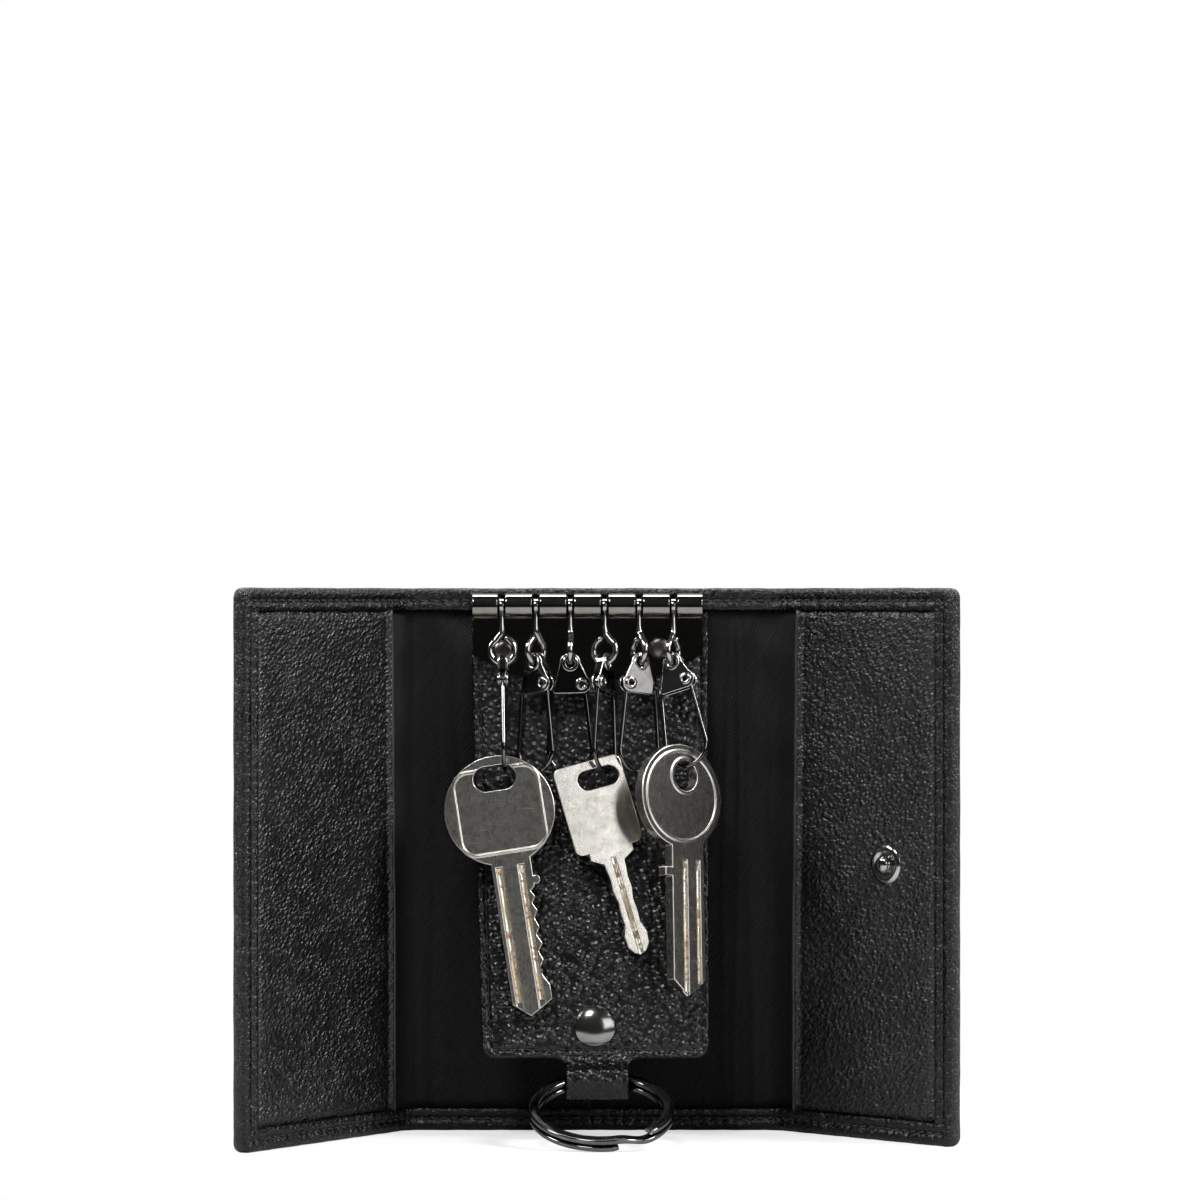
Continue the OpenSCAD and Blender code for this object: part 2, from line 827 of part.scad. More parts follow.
// The wire's section at angle t, eight points round a bevelled rectangle
function ring_section(t) = [
    for (p = [
        [-1, 1, 0], [-1, 1, 1], [1, 1, 1], [1, 1, 0],
        [1, -1, 0], [1, -1, 1], [-1, -1, 1], [-1, -1, 0]
    ])
        let (
            r = ring_mid_r + p[0] * (ring_wire_w / 2 - p[2] * ring_bevel),
            h = ring_level(t) + p[1] * (ring_wire_t / 2 - (1 - p[2]) * ring_bevel)
        )
        [r * cos(t), r * sin(t), h]
];

module split_ring() {
    sweep = 720 - cross_angle;
    sections = [for (k = [0:ring_steps]) ring_section(sweep * k / ring_steps)];
    sides = len(sections[0]);
    points = [for (s = sections) for (p = s) p];
    last = ring_steps * sides;
    walls = [
        for (k = [0:ring_steps - 1], j = [0:sides - 1])
            let (a = k * sides + j, b = k * sides + (j + 1) % sides)
            each [[a, b + sides, b], [a, a + sides, b + sides]]
    ];
    start_cap = [for (j = [1:sides - 2]) [0, j, j + 1]];
    end_cap = [for (j = [1:sides - 2]) [last, last + j + 1, last + j]];
    color([0.3, 0.3, 0.32])
        translate([ring_x, pivot_y, pivot_z])
            rotate([-ring_tilt, 0, 0])
                translate([0, 0, -ring_mid_r])
                    rotate([90, 0, 0])
                        rotate([0, 0, ring_ends_at])
                            polyhedron(points, concat(start_cap, walls, end_cap), convexity = 8);
}

// Angle round the ring at which its upper turn starts
ring_ends_at = -46;

// The way down for hook i, seen in its plate's plane
function down_of(i) =
    let (
        x = sin(hook_lean[i]) * sin(hook_turn[i]),
        z = -cos(hook_lean[i]),
        d = [x * cos(hook_tilt[i]) + z * sin(hook_tilt[i]), z * cos(hook_tilt[i]) - x * sin(hook_tilt[i])]
    )
    d / norm(d);

// The frame of key k: its origin is the lowest wire of its hook, and its face is the X, Z plane
module at_key(k) {
    i = key_hook[k];
    down = down_of(i);
    at_hook(i)
        translate([loop_r * down[0], 0, loop_r * down[1] - loop_mid])
            rotate([0, hook_tilt[i], 0])
                rotate([0, 0, -hook_turn[i]])
                    rotate([hook_lean[i], 0, 0])
                        rotate([0, pin_roll[i], 0])
                            rotate([-key_lean[k], 0, 0])
                                rotate([0, 0, key_turn[k]])
                                    rotate([0, -key_tilt[k], 0])
                                        children();
}

// Lengthwise grooves of a blade on both faces, from one height down to another
module grooves(places, w, deep, t, from, to) {
    for (x = places, side = [-1, 1])
        translate([x, side * t / 2, 0])
            block([-w / 2, -deep, to], [w / 2, deep, from]);
}

// Key 1: round head with a wide hole and a raised border, a grooved blade cut on its right edge
module key_1() {
    head = hole_1 - [0, 6.6];
    blade_x = [-5.6, 2.4];
    blade_top = -16.5;
    blade_end = -47;
    tip = [-2.2, -49.8];
    border = [17.6, 17.4];
    border_r = 3.4;
    border_w = 0.5;
    border_h = 0.2;
    // The cuts, as depths from the right edge at shares of the blade's length
    cut_shares = [
        [0.25, 0.0], [0.28, 0.9], [0.32, 0.2], [0.36, 1.0], [0.41, 0.2], [0.46, 1.0], [0.52, 0.3],
        [0.57, 1.1], [0.63, 0.2], [0.68, 1.2], [0.74, 0.5], [0.79, 1.5], [0.84, 1.1], [0.9, 0.0]
    ];
    blade_len = blade_top - blade_end;
    bump = [2.8, -22.9];
    bump_r = 0.9;
    color([0.6, 0.59, 0.56])
        at_key(0) {
            difference() {
                plate_xz(-key_t / 2, key_t / 2)
                    difference() {
                        union() {
                            translate(head)
                                circle(r = round_head_r);
                            polygon(concat(
                                [[blade_x[0], blade_top], [blade_x[0], blade_end], tip, [blade_x[1], blade_end]],
                                [for (k = [len(cut_shares) - 1:-1:0])
                                    let (c = cut_shares[k])
                                    [blade_x[1] - c[1], blade_top - c[0] * blade_len]],
                                [[blade_x[1], blade_top]]
                            ));
                            translate(bump)
                                circle(r = bump_r);
                        }
                        translate(hole_1)
                            stadium(long_hole[0], long_hole[1]);
                    }
                grooves([-4.1, 0.3], 1.3, 0.5, key_t, blade_top - 3, tip[1] - over);
            }
            for (y = [-key_t / 2 - border_h, key_t / 2])
                plate_xz(y, y + border_h)
                    difference() {
                        translate(head - border / 2)
                            round_rect(border[0], border[1], border_r);
                        translate(head - border / 2 + [border_w, border_w])
                            round_rect(border[0] - 2 * border_w, border[1] - 2 * border_w, border_r - border_w);
                        translate(hole_1)
                            stadium(long_hole[0], long_hole[1]);
                    }
        }
}

// Key 2: rounded oblong head with a slot, and a narrow blade cut on both edges
module key_2() {
    head_left = -11;
    head_top = 2.9;
    head_low = [head_left, head_top - square_head_h];
    head_r = 1.6;
    neck = [4.6, 2.8];
    blade_mid = head_low[0] + square_head_w / 2;
    blade_w = 4.4;
    blade_top = head_low[1] - neck[1];
    tip = [blade_mid, -37.4];
    blade_len = blade_top - tip[1];
    // Half widths of the blade at shares of its length
    edge_shares = [[0, 0.5], [0.18, 0.42], [0.3, 0.46], [0.42, 0.36], [0.55, 0.4], [0.66, 0.38],
        [0.78, 0.55], [0.9, 0.5], [0.97, 0.28]];
    color([0.66, 0.65, 0.61])
        at_key(1)
            difference() {
                plate_xz(-small_key_t / 2, small_key_t / 2)
                    difference() {
                        union() {
                            translate(head_low)
                                round_rect(square_head_w, square_head_h, head_r);
                            polygon([
                                [blade_mid - neck[0], head_low[1] + head_r],
                                [blade_mid - neck[0], head_low[1] - neck[1] / 2],
                                [blade_mid - blade_w / 2, blade_top], [blade_mid + blade_w / 2, blade_top],
                                [blade_mid + neck[0], head_low[1] - neck[1] / 2],
                                [blade_mid + neck[0], head_low[1] + head_r]
                            ]);
                            polygon(concat(
                                [for (e = edge_shares)
                                    [blade_mid - e[1] * blade_w, blade_top - e[0] * blade_len]],
                                [tip],
                                [for (k = [len(edge_shares) - 1:-1:0])
                                    let (e = edge_shares[k])
                                    [blade_mid + e[1] * blade_w, blade_top - e[0] * blade_len]]
                            ));
                        }
                        translate(hole_2)
                            stadium(slot_hole[0], slot_hole[1]);
                    }
                grooves([blade_mid], 0.9, 0.5, small_key_t, blade_top + 1, tip[1] - over);
            }
}

// Key 3: round head with a rimmed hole and a raised border, and a plain blade with a pointed end
module key_3() {
    head = [-1.4, -6.2];
    blade_x = [-4.2, 4.1];
    blade_top = -15;
    blade_end = -43;
    tip = [-0.4, -46.3];
    rim_w = 0.7;
    border_in = 1.1;
    border_w = 0.5;
    border_h = 0.2;
    stop_x = -6;
    stop = [-20.6, -22.4];
    color([0.58, 0.57, 0.54])
        at_key(2) {
            difference() {
                plate_xz(-key_t / 2, key_t / 2)
                    difference() {
                        union() {
                            translate(head)
                                circle(r = oval_head_r);
                            polygon([
                                [blade_x[0], blade_top], [blade_x[0], stop[0]], [stop_x, stop[0]],
                                [stop_x, stop[1]], [blade_x[0], stop[1]], [blade_x[0], blade_end], tip,
                                [blade_x[1], blade_end], [blade_x[1], blade_top]
                            ]);
                        }
                        translate(hole_3)
                            circle(r = oval_hole_r);
                    }
                grooves([-0.9], 1.2, 0.5, key_t, blade_top - 4, tip[1] - over);
                grooves([2.5], 1, 0.4, key_t, blade_top - 4, tip[1] - over);
            }
            for (y = [-key_t / 2 - border_h, key_t / 2])
                plate_xz(y, y + border_h) {
                    difference() {
                        translate(hole_3)
                            circle(r = oval_hole_r + rim_w);
                        translate(hole_3)
                            circle(r = oval_hole_r);
                    }
                    difference() {
                        translate(head)
                            circle(r = oval_head_r - border_in);
                        translate(head)
                            circle(r = oval_head_r - border_in - border_w);
                        translate(hole_3)
                            circle(r = oval_hole_r + rim_w / 2);
                    }
                }
        }
}

back_leather();
back_board();
lining();
left_leather();
left_board();
left_facing();
snap_socket();
snap_washer();
right_leather();
right_board();
right_facing();
snap_stud();
snap_cap();
tongue_head();
tongue_front();
tongue_back();
tongue_button();
tongue_washer();
ring_tab();
split_ring();
key_bar();
bar_rivets();
eye_pin(0);  // eye_pin_1
eye_pin(1);  // eye_pin_2
eye_pin(2);  // eye_pin_3
eye_pin(3);  // eye_pin_4
eye_pin(4);  // eye_pin_5
eye_pin(5);  // eye_pin_6
hook_plate(0);  // hook_plate_1
hook_plate(1);  // hook_plate_2
hook_plate(2);  // hook_plate_3
hook_plate(3);  // hook_plate_4
hook_plate(4);  // hook_plate_5
hook_plate(5);  // hook_plate_6
hook_rivet(0);  // hook_rivet_1
hook_rivet(1);  // hook_rivet_2
hook_rivet(2);  // hook_rivet_3
hook_rivet(3);  // hook_rivet_4
hook_rivet(4);  // hook_rivet_5
hook_rivet(5);  // hook_rivet_6
hook_wire(0);  // hook_wire_1
hook_wire(1);  // hook_wire_2
hook_wire(2);  // hook_wire_3
hook_wire(3);  // hook_wire_4
hook_wire(4);  // hook_wire_5
hook_wire(5);  // hook_wire_6
key_1();
key_2();
key_3();
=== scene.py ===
import math

import bmesh
import bpy
import numpy as np
from mathutils import Matrix, Vector


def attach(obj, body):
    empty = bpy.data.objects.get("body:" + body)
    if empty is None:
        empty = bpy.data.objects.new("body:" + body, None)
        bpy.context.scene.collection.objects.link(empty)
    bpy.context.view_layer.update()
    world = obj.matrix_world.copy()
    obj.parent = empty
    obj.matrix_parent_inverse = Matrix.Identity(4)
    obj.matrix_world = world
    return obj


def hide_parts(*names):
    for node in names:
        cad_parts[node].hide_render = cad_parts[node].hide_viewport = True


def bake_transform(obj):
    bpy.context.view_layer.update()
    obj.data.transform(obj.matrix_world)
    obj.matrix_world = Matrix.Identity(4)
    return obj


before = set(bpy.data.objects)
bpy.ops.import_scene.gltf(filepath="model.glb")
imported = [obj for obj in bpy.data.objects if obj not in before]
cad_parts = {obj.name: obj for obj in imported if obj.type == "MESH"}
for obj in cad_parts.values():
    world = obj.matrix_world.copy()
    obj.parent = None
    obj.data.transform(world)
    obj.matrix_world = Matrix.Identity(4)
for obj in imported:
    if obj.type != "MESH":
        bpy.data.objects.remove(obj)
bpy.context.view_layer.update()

scene = bpy.context.scene
MM = 0.001

# ---- camera
# The photograph: 1200 x 1200 pixels, a level camera, a lens of 155 mm, horizon at the middle row
PHOTO_PX, FOCAL_PX, SENSOR = 1200.0, 5173.0, 36.0
CAMERA_AT = (1.73, -1050, 107.6)
cam_data = bpy.data.cameras.new("camera")
cam_data.sensor_width = SENSOR
cam_data.sensor_fit = "HORIZONTAL"
cam_data.lens = FOCAL_PX / PHOTO_PX * SENSOR
cam_data.clip_start = 0.05
cam_data.clip_end = 50.0
camera = bpy.data.objects.new("camera", cam_data)
camera.location = [v * MM for v in CAMERA_AT]
camera.rotation_euler = (math.pi / 2, 0, 0)
scene.collection.objects.link(camera)
scene.camera = camera

# ---- sizes, in mm
PANEL_H = 110.0
FOLD_X, FOLD_Y, BEND = 38.25, 1.2, 2.5  # where the case folds, and half the length that bends
LEFT = dict(side=-1, name="left", body="left_flap", width=55.0, angle=56.0)
RIGHT = dict(side=1, name="right", body="right_flap", width=48.0, angle=45.0)
LEFT["pleats"] = [(27.0, 0.9, 0.25, 0.8), (31.5, 1.0, 0.3, -0.6), (36.2, 0.8, 0.3, 0.3)]
RIGHT["pleats"] = [(27.4, 0.5, 0.6, 0.5), (29.6, 0.45, 0.75, 0.2), (32.2, 0.7, 0.5, -0.4)]
RIGHT["pleats"] += [(36.0, 0.8, 0.35, 0.2)]
BACK_Y, HEM_Y = 2.4, -1.0
SEAM_IN = 2.5  # the stitches' distance in from the case's edges
FACING_IN = 5.6  # from the fold to the facing's inner edge
# distances in from an edge at which the case's and the hems' meshes have a line
EDGE_LINES = [0, 0.06, 0.2, 0.42, 0.7, 1.0, 1.5, 1.95, 2.25, 2.5, 2.75]
EDGE_LINES += [3.05, 3.5, 3.9, 4.15, 4.33, 4.45, 4.5, 4.52]
# the tongue leans forward from its hinge under the key bar
HINGE_Y, HINGE_Z, LEAN = -0.9, 91.0, math.radians(12)
TONGUE_LEN = (HINGE_Z - 16.1) / math.cos(LEAN)
TONGUE_BEND = 2.0
TAB_X, TAB_W, TAB_DROP = 1.2, 12.4, 4.3
PIVOT_Y = HINGE_Y - (TONGUE_LEN + TAB_DROP) * math.sin(LEAN)
PIVOT_Z = HINGE_Z - (TONGUE_LEN + TAB_DROP) * math.cos(LEAN)


def fold(d, h, b, th):
    """Bend a strip by the angle th over a length 2b round d = 0. Its points lie h out of it."""
    r0 = b / math.tan(th / 2)
    phi = np.clip((d + b) / (2 * b), 0, 1) * th
    beyond = (d * math.cos(th) + h * math.sin(th), h * math.cos(th) - d * math.sin(th))
    within = ((r0 + h) * np.sin(phi) - b, (r0 + h) * np.cos(phi) - r0)
    parts = zip((d, h), within, beyond)
    return [np.where(d <= -b, before, np.where(d >= b, after, mid)) for before, mid, after in parts]


def warp_case(p, half):
    """Flat points (distance out from the middle, depth, height) to the folded case, in mm."""
    along, out = fold(p[:, 0] - FOLD_X, p[:, 1] - FOLD_Y, BEND, math.radians(half["angle"]))
    return np.stack([(FOLD_X + along) * half["side"], FOLD_Y + out, p[:, 2]], 1)


def warp_tongue(p):
    """Flat points (x, offset from the middle of the thickness, distance down from the hinge)."""
    along, out = fold(p[:, 2], p[:, 1], TONGUE_BEND, LEAN)
    return np.stack([p[:, 0], HINGE_Y + out, HINGE_Z - along], 1)


# ---- mesh helpers
def make(name, verts_mm, faces, material, flat=None, sharp=None):
    """A smooth-shaded piece. flat: each point's place for the textures, in mm. sharp: degrees."""
    me = bpy.data.meshes.new(name)
    me.from_pydata((np.asarray(verts_mm, float) * MM).tolist(), [], [list(map(int, f)) for f in faces])
    me.validate()
    me.update()
    if flat is not None:
        at = me.attributes.new("flat", "FLOAT_VECTOR", "POINT")
        at.data.foreach_set("vector", np.asarray(flat, np.float32).ravel())
    bm = bmesh.new()
    bm.from_mesh(me)
    bmesh.ops.recalc_face_normals(bm, faces=bm.faces)
    bm.to_mesh(me)
    bm.free()
    me.polygons.foreach_set("use_smooth", [True] * len(me.polygons))
    if sharp is not None:
        me.set_sharp_from_angle(angle=math.radians(sharp))
    o = bpy.data.objects.new(name, me)
    scene.collection.objects.link(o)
    me.materials.append(material)
    return o


def folded(name, verts, faces, material, half, depth=0.0):
    """A piece drawn on the flat case, folded with its flap. Its textures keep to the flat drawing."""
    flat = verts * (half["side"], 1, 1) + (0, depth, 0)
    return make(name, warp_case(verts, half), faces, material, flat=flat)


def place(o, body, slot, *nodes):
    """The body that a piece rides on, a slot that is not used, and the CAD nodes that it stands for."""
    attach(o, body)
    if nodes:
        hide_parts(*nodes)


def grid(along, across):
    """A grid's points, line after line, and its numbers of lines and of points in each."""
    a, b = np.meshgrid(along, across, indexing="ij")
    return a.ravel(), b.ravel(), a.shape


def slab(shape, front, back):
    """Vertices and faces of a closed slab from the (x, y, z) columns of two grids of points."""
    verts = np.concatenate([np.stack(front, 1), np.stack(back, 1)])
    nu, nv = shape
    n = nu * nv
    faces = []
    for i in range(nu - 1):
        for j in range(nv - 1):
            a, b, c, d = i * nv + j, (i + 1) * nv + j, (i + 1) * nv + j + 1, i * nv + j + 1
            faces.append((a, b, c, d))
            faces.append((n + a, n + d, n + c, n + b))
    rim = [i * nv for i in range(nu)] + [(nu - 1) * nv + j for j in range(1, nv)]
    rim += [i * nv + nv - 1 for i in range(nu - 2, -1, -1)] + [j for j in range(nv - 2, 0, -1)]
    for k in range(len(rim)):
        a, b = rim[k], rim[(k + 1) % len(rim)]
        faces.append((a, n + a, n + b, b))
    return verts, faces


def skin(n, m):
    """Faces of a skin over n rings of m points, with closed ends."""
    faces = []
    for i in range(n - 1):
        for j in range(m):
            k = (j + 1) % m
            faces.append((i * m + j, i * m + k, (i + 1) * m + k, (i + 1) * m + j))
    return faces + [tuple(range(m - 1, -1, -1)), tuple(range((n - 1) * m, n * m))]


def hoop(n, m):
    """Faces of a skin over n rings of m points, the last joined to the first."""
    faces = []
    for i in range(n):
        for j in range(m):
            a, b, k = i * m, (i + 1) % n * m, (j + 1) % m
            faces.append((a + j, b + j, b + k, a + k))
    return faces


def moved(faces, by):
    """Faces whose points come after the first points of a mesh."""
    return [tuple(by + c for c in face) for face in faces]


def dent(d, at, width):
    """A smooth groove of depth 1 that runs at a distance in from an edge."""
    return np.exp(-(((d - at) / width) ** 2))


def spaced(a, b, step):
    """Values from a to b, about a step apart."""
    n = max(1, int(round((b - a) / step)))
    return list(np.linspace(a, b, n + 1))


def wave(a, b, seed=0.0):
    """Slow, smooth unevenness between about -1 and 1."""
    return (
        np.sin(a * 0.23 + 1.3 + seed) * np.cos(b * 0.19 - 0.4 + seed * 2)
        + 0.6 * np.sin(a * 0.61 - b * 0.37 + seed * 3)
        + 0.35 * np.cos(a * 1.13 + b * 0.92 + seed)
    ) / 1.95


def rounded(d, r):
    """Drop of a rounded edge at a distance d in from the edge."""
    q = np.clip(1 - d / r, 0, 1)
    return r * (1 - np.sqrt(1 - q * q))


def stitch_verts(length, r, sag, n=7, m=6):
    """One stitch: a short thread along the first axis that dips in at both ends. (u, height, v)."""
    pts = []
    for i in range(n):
        t = -1 + 2 * i / (n - 1)
        rr = r * math.sqrt(max(0.06, 1 - abs(t) ** 5))
        for j in range(m):
            a = 2 * math.pi * j / m
            pts.append((t * length / 2, rr * math.cos(a) * 0.85 - sag * abs(t) ** 3, rr * math.sin(a)))
    return np.array(pts), skin(n, m)


def thread_run(lines, pitch, length, r, sag, slant=0.09):
    """Stitches in flat coordinates. lines: (a, b, level, up) with a and b as (s, z) ends."""
    sv, sf = stitch_verts(length, r, sag)
    verts, faces = [], []
    for a, b, level, up in lines:
        a, b = np.array(a, float), np.array(b, float)
        run = np.linalg.norm(b - a)
        n = max(1, int(round(run / pitch)))
        d = (b - a) / run
        for k in range(n):
            c = a + d * run * (k + 0.5) / n
            ang = slant + 0.03 * math.sin(k * 2.7 + run)
            ca, sa = math.cos(ang), math.sin(ang)
            du = np.array([d[0] * ca - d[1] * sa, d[0] * sa + d[1] * ca])
            dv = np.array([-du[1], du[0]])
            faces += moved(sf, len(verts))
            for u, h, v in sv:
                q = c + du * u + dv * v
                verts.append((q[0], level + up * h, q[1]))
    return np.array(verts), faces


def rings(profile, centre, axis, m):
    """Points of circles round an axis. profile: (radius, height along the axis), in mm."""
    ax = Vector(axis).normalized()
    u = ax.orthogonal().normalized()
    v = ax.cross(u)
    verts = []
    for r, h in profile:
        for k in range(m):
            a = 2 * math.pi * k / m
            verts.append(tuple(Vector(centre) + ax * h + (u * math.cos(a) + v * math.sin(a)) * r))
    return verts


def fans(n, m):
    """Faces of a skin from one point over n rings of m points to a last point."""
    last = n * m + 1
    faces = moved(skin(n, m)[:-2], 1)
    for j in range(m):
        k = (j + 1) % m
        faces += [(0, 1 + j, 1 + k), (last, last - m + k, last - m + j)]
    return faces


def lathe(name, profile, centre, axis, material, seg=64):
    """A turned piece. profile: (radius, height along axis) from the axis round to the axis, in mm."""
    start, *middle, end = profile
    poles = [tuple(Vector(centre) + Vector(axis).normalized() * h) for _, h in (start, end)]
    vs = np.array([poles[0], *rings(middle, centre, axis, seg), poles[1]])
    return make(name, vs, fans(len(middle), seg), material, flat=vs, sharp=50)


def shade(me, limit=50.0):
    """Smooth shading in which each broad flat face keeps its own direction up to its edges."""
    n = len(me.polygons)
    nor = np.zeros(n * 3)
    me.polygons.foreach_get("normal", nor)
    nor = nor.reshape(-1, 3)
    area = np.zeros(n)
    me.polygons.foreach_get("area", area)
    root = list(range(n))

    def find(a):
        while root[a] != a:
            root[a] = root[root[a]]
            a = root[a]
        return a

    by_edge, by_vert = {}, {}
    for q in me.polygons:
        for key in q.edge_keys:
            by_edge.setdefault(key, []).append(q.index)
        for v in q.vertices:
            by_vert.setdefault(v, []).append(q.index)
    same = math.cos(math.radians(0.8))
    for pair in by_edge.values():
        if len(pair) == 2 and nor[pair[0]] @ nor[pair[1]] > same:
            root[find(pair[0])] = find(pair[1])
    whole = {}
    for q in range(n):
        whole[find(q)] = whole.get(find(q), 0.0) + area[q]
    weight = np.array([whole[find(q)] for q in range(n)])
    near = math.cos(math.radians(limit))
    normals = [None] * len(me.loops)
    for q in me.polygons:
        for li in q.loop_indices:
            total = np.zeros(3)
            seen = set()
            for w in by_vert[me.loops[li].vertex_index]:
                r = find(w)
                if r not in seen and nor[q.index] @ nor[w] > near:
                    seen.add(r)
                    total += nor[w] * weight[w]
            normals[li] = tuple(total / np.linalg.norm(total))
    me.polygons.foreach_set("use_smooth", [True] * n)
    me.normals_split_custom_set(normals)


def bevelled(node, body, material, width, seg=2, edge=None, merge=True):
    """A finished copy of a hard CAD piece whose edges are broken, as the real one's are."""
    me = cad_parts[node].data.copy()
    bm = bmesh.new()
    bm.from_mesh(me)
    bmesh.ops.remove_doubles(bm, verts=bm.verts, dist=2e-6)
    if merge:
        bmesh.ops.dissolve_limit(bm, angle_limit=math.radians(0.6), verts=bm.verts, edges=bm.edges)
    bm.to_mesh(me)
    bm.free()
    me.materials.clear()
    me.materials.append(material)
    me.polygons.foreach_set("material_index", [0] * len(me.polygons))
    o = bpy.data.objects.new(node + "_finish", me)
    scene.collection.objects.link(o)
    if width:
        mod = o.modifiers.new("edges", "BEVEL")
        # a brighter material on the broken edges, where given, is a painted highlight
        if edge:
            me.materials.append(edge)
            mod.material = 1
        mod.width = width * MM
        mod.segments = seg
        mod.limit_method = "ANGLE"
        mod.angle_limit = math.radians(32)
        mod.use_clamp_overlap = False
        dg = bpy.context.evaluated_depsgraph_get()
        me = bpy.data.meshes.new_from_object(o.evaluated_get(dg))
        o.modifiers.clear()
        o.data = me
    me.name = node + "_finish"
    shade(me)
    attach(o, body)
    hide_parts(node)


# ---- material helpers
class Nodes:
    """A node tree and short ways to add to it."""

    def __init__(self, tree):
        self.t = tree
        self.t.nodes.clear()

    def new(self, kind, **kw):
        n = self.t.nodes.new(kind)
        for k, v in kw.items():
            setattr(n, k, v)
        return n

    def link(self, a, b):
        self.t.links.new(a, b)

    def put(self, *pairs):
        """Give each socket its value or the output that feeds it."""
        for sock, v in pairs:
            if isinstance(v, bpy.types.NodeSocket):
                self.link(v, sock)
            else:
                sock.default_value = (*v, 1.0) if sock.type == "RGBA" else v

    def feed(self, node, out=0, **inputs):
        """Set or link a node's inputs by name; one of its outputs."""
        self.put(*((node.inputs[k.replace("_", " ")], v) for k, v in inputs.items()))
        return node.outputs[out]

    def flat(self):
        """Coordinates in mm that stay with the leather as it bends."""
        return self.new("ShaderNodeAttribute", attribute_name="flat").outputs["Vector"]

    def obj(self):
        """Object coordinates, in mm."""
        c = self.new("ShaderNodeTexCoord").outputs["Object"]
        return self.feed(self.new("ShaderNodeVectorMath", operation="SCALE"), Vector=c, Scale=1000.0)

    def mapped(self, vec, **values):
        """Coordinates turned and scaled."""
        return self.feed(self.new("ShaderNodeMapping"), Vector=vec, **values)

    def noise(self, vec, scale, detail=3.0, rough=0.5, out="Fac"):
        n = self.new("ShaderNodeTexNoise")
        return self.feed(n, out, Vector=vec, Scale=scale, Detail=detail, Roughness=rough)

    def ramp(self, fac, stops):
        """A smooth step: (from, to, value before, value after)."""
        r = self.new("ShaderNodeMapRange", interpolation_type="SMOOTHSTEP")
        a, b, c, d = stops
        return self.feed(r, "Result", Value=fac, From_Min=a, From_Max=b, To_Min=c, To_Max=d)

    def mix(self, fac, a, b):
        n = self.new("ShaderNodeMix", data_type="RGBA")
        self.put((n.inputs[0], fac), (n.inputs[6], a), (n.inputs[7], b))
        return n.outputs[2]

    def fade(self, fac, a, b):
        n = self.new("ShaderNodeMix", data_type="FLOAT")
        self.put((n.inputs[0], fac), (n.inputs[2], a), (n.inputs[3], b))
        return n.outputs[0]

    def math(self, op, *values):
        n = self.new("ShaderNodeMath", operation=op)
        self.put(*zip(n.inputs, values))
        return n.outputs[0]

    def bump(self, height, dist_mm, strength=1.0):
        return self.feed(self.new("ShaderNodeBump"), Height=height, Distance=dist_mm * MM, Strength=strength)


class Mat(Nodes):
    """A material with one principled shader."""

    def __init__(self, name):
        self.m = bpy.data.materials.new(name)
        self.m.use_nodes = True
        super().__init__(self.m.node_tree)
        self.out = self.new("ShaderNodeOutputMaterial")
        self.p = self.new("ShaderNodeBsdfPrincipled")
        self.link(self.p.outputs[0], self.out.inputs[0])

    def surface(self, colour, rough, normal=None, spec=None, metallic=None):
        """The shader's colour, roughness and whatever else is given; the finished material."""
        names = ("Base Color", "Roughness", "Normal", "Specular IOR Level", "Metallic")
        given = zip(names, (colour, rough, normal, spec, metallic))
        self.put(*((self.p.inputs[n], v) for n, v in given if v is not None))
        return self.m


def leather(name, dark, light, grain, rough=0.33, spec=0.5, depth=0.25, turned=0.45, stretch=0.66,
            pores=0.16, small=0.26):
    """Pebbled full grain leather: domed cells of two sizes between creases, with fine pores."""
    k = Mat(name)
    ro = k.feed(k.new("ShaderNodeVectorRotate", rotation_type="Y_AXIS"), Vector=k.flat(), Angle=turned)
    v = k.mapped(ro, Scale=(stretch / grain, 1 / grain, 1 / grain))
    off = k.new("ShaderNodeVectorMath", operation="MULTIPLY_ADD")
    k.put(*zip(off.inputs, (k.noise(v, 0.9, 2.0, out="Color"), (0.3, 0.3, 0.3), v)))
    patch = k.noise(v, 0.22, 3.0, 0.55)
    heights = []
    for sc, w in ((1.0, 0.9 - small), (2.2, small)):
        vo = k.new("ShaderNodeTexVoronoi", feature="SMOOTH_F1")
        cells = k.feed(vo, "Distance", Vector=off.outputs[0], Scale=sc, Smoothness=0.16)
        heights.append(k.math("MULTIPLY", k.ramp(cells, (0.08, 0.72, 1.0, 0.0)), w))
    h = k.math("ADD", *heights)
    fine = k.noise(v, 5.0, 2.0, 0.6)
    hh = k.math("MULTIPLY_ADD", fine, pores, h)
    hh = k.math("MULTIPLY", hh, k.ramp(patch, (0.3, 0.65, 0.7, 1.1)))
    big = k.noise(v, 0.05, 3.0, 0.55)
    # painted shade: the colour goes from dark in the creases to light on the domes' tops
    col = k.mix(k.ramp(h, (0.3, 0.8, 0.0, 1.0)), dark, light)
    col = k.mix(k.ramp(big, (0.4, 0.7, 0.0, 0.3)), col, tuple(c * 1.4 for c in light))
    worn = k.math("MULTIPLY_ADD", big, 0.4, k.math("MULTIPLY", fine, 0.6))
    return k.surface(col, k.ramp(worn, (0.3, 0.7, rough - 0.08, rough + 0.1)), k.bump(hh, depth), spec)


def pale_bead():
    k = Mat("pale_bead")
    v = k.flat()
    # a mottled grey, lighter than the leather
    col = k.mix(k.noise(v, 1.4), (0.016, 0.016, 0.016), (0.034, 0.033, 0.032))
    return k.surface(col, 0.42, k.bump(k.noise(v, 2.6, 2.0), 0.05, 0.7), 0.45)


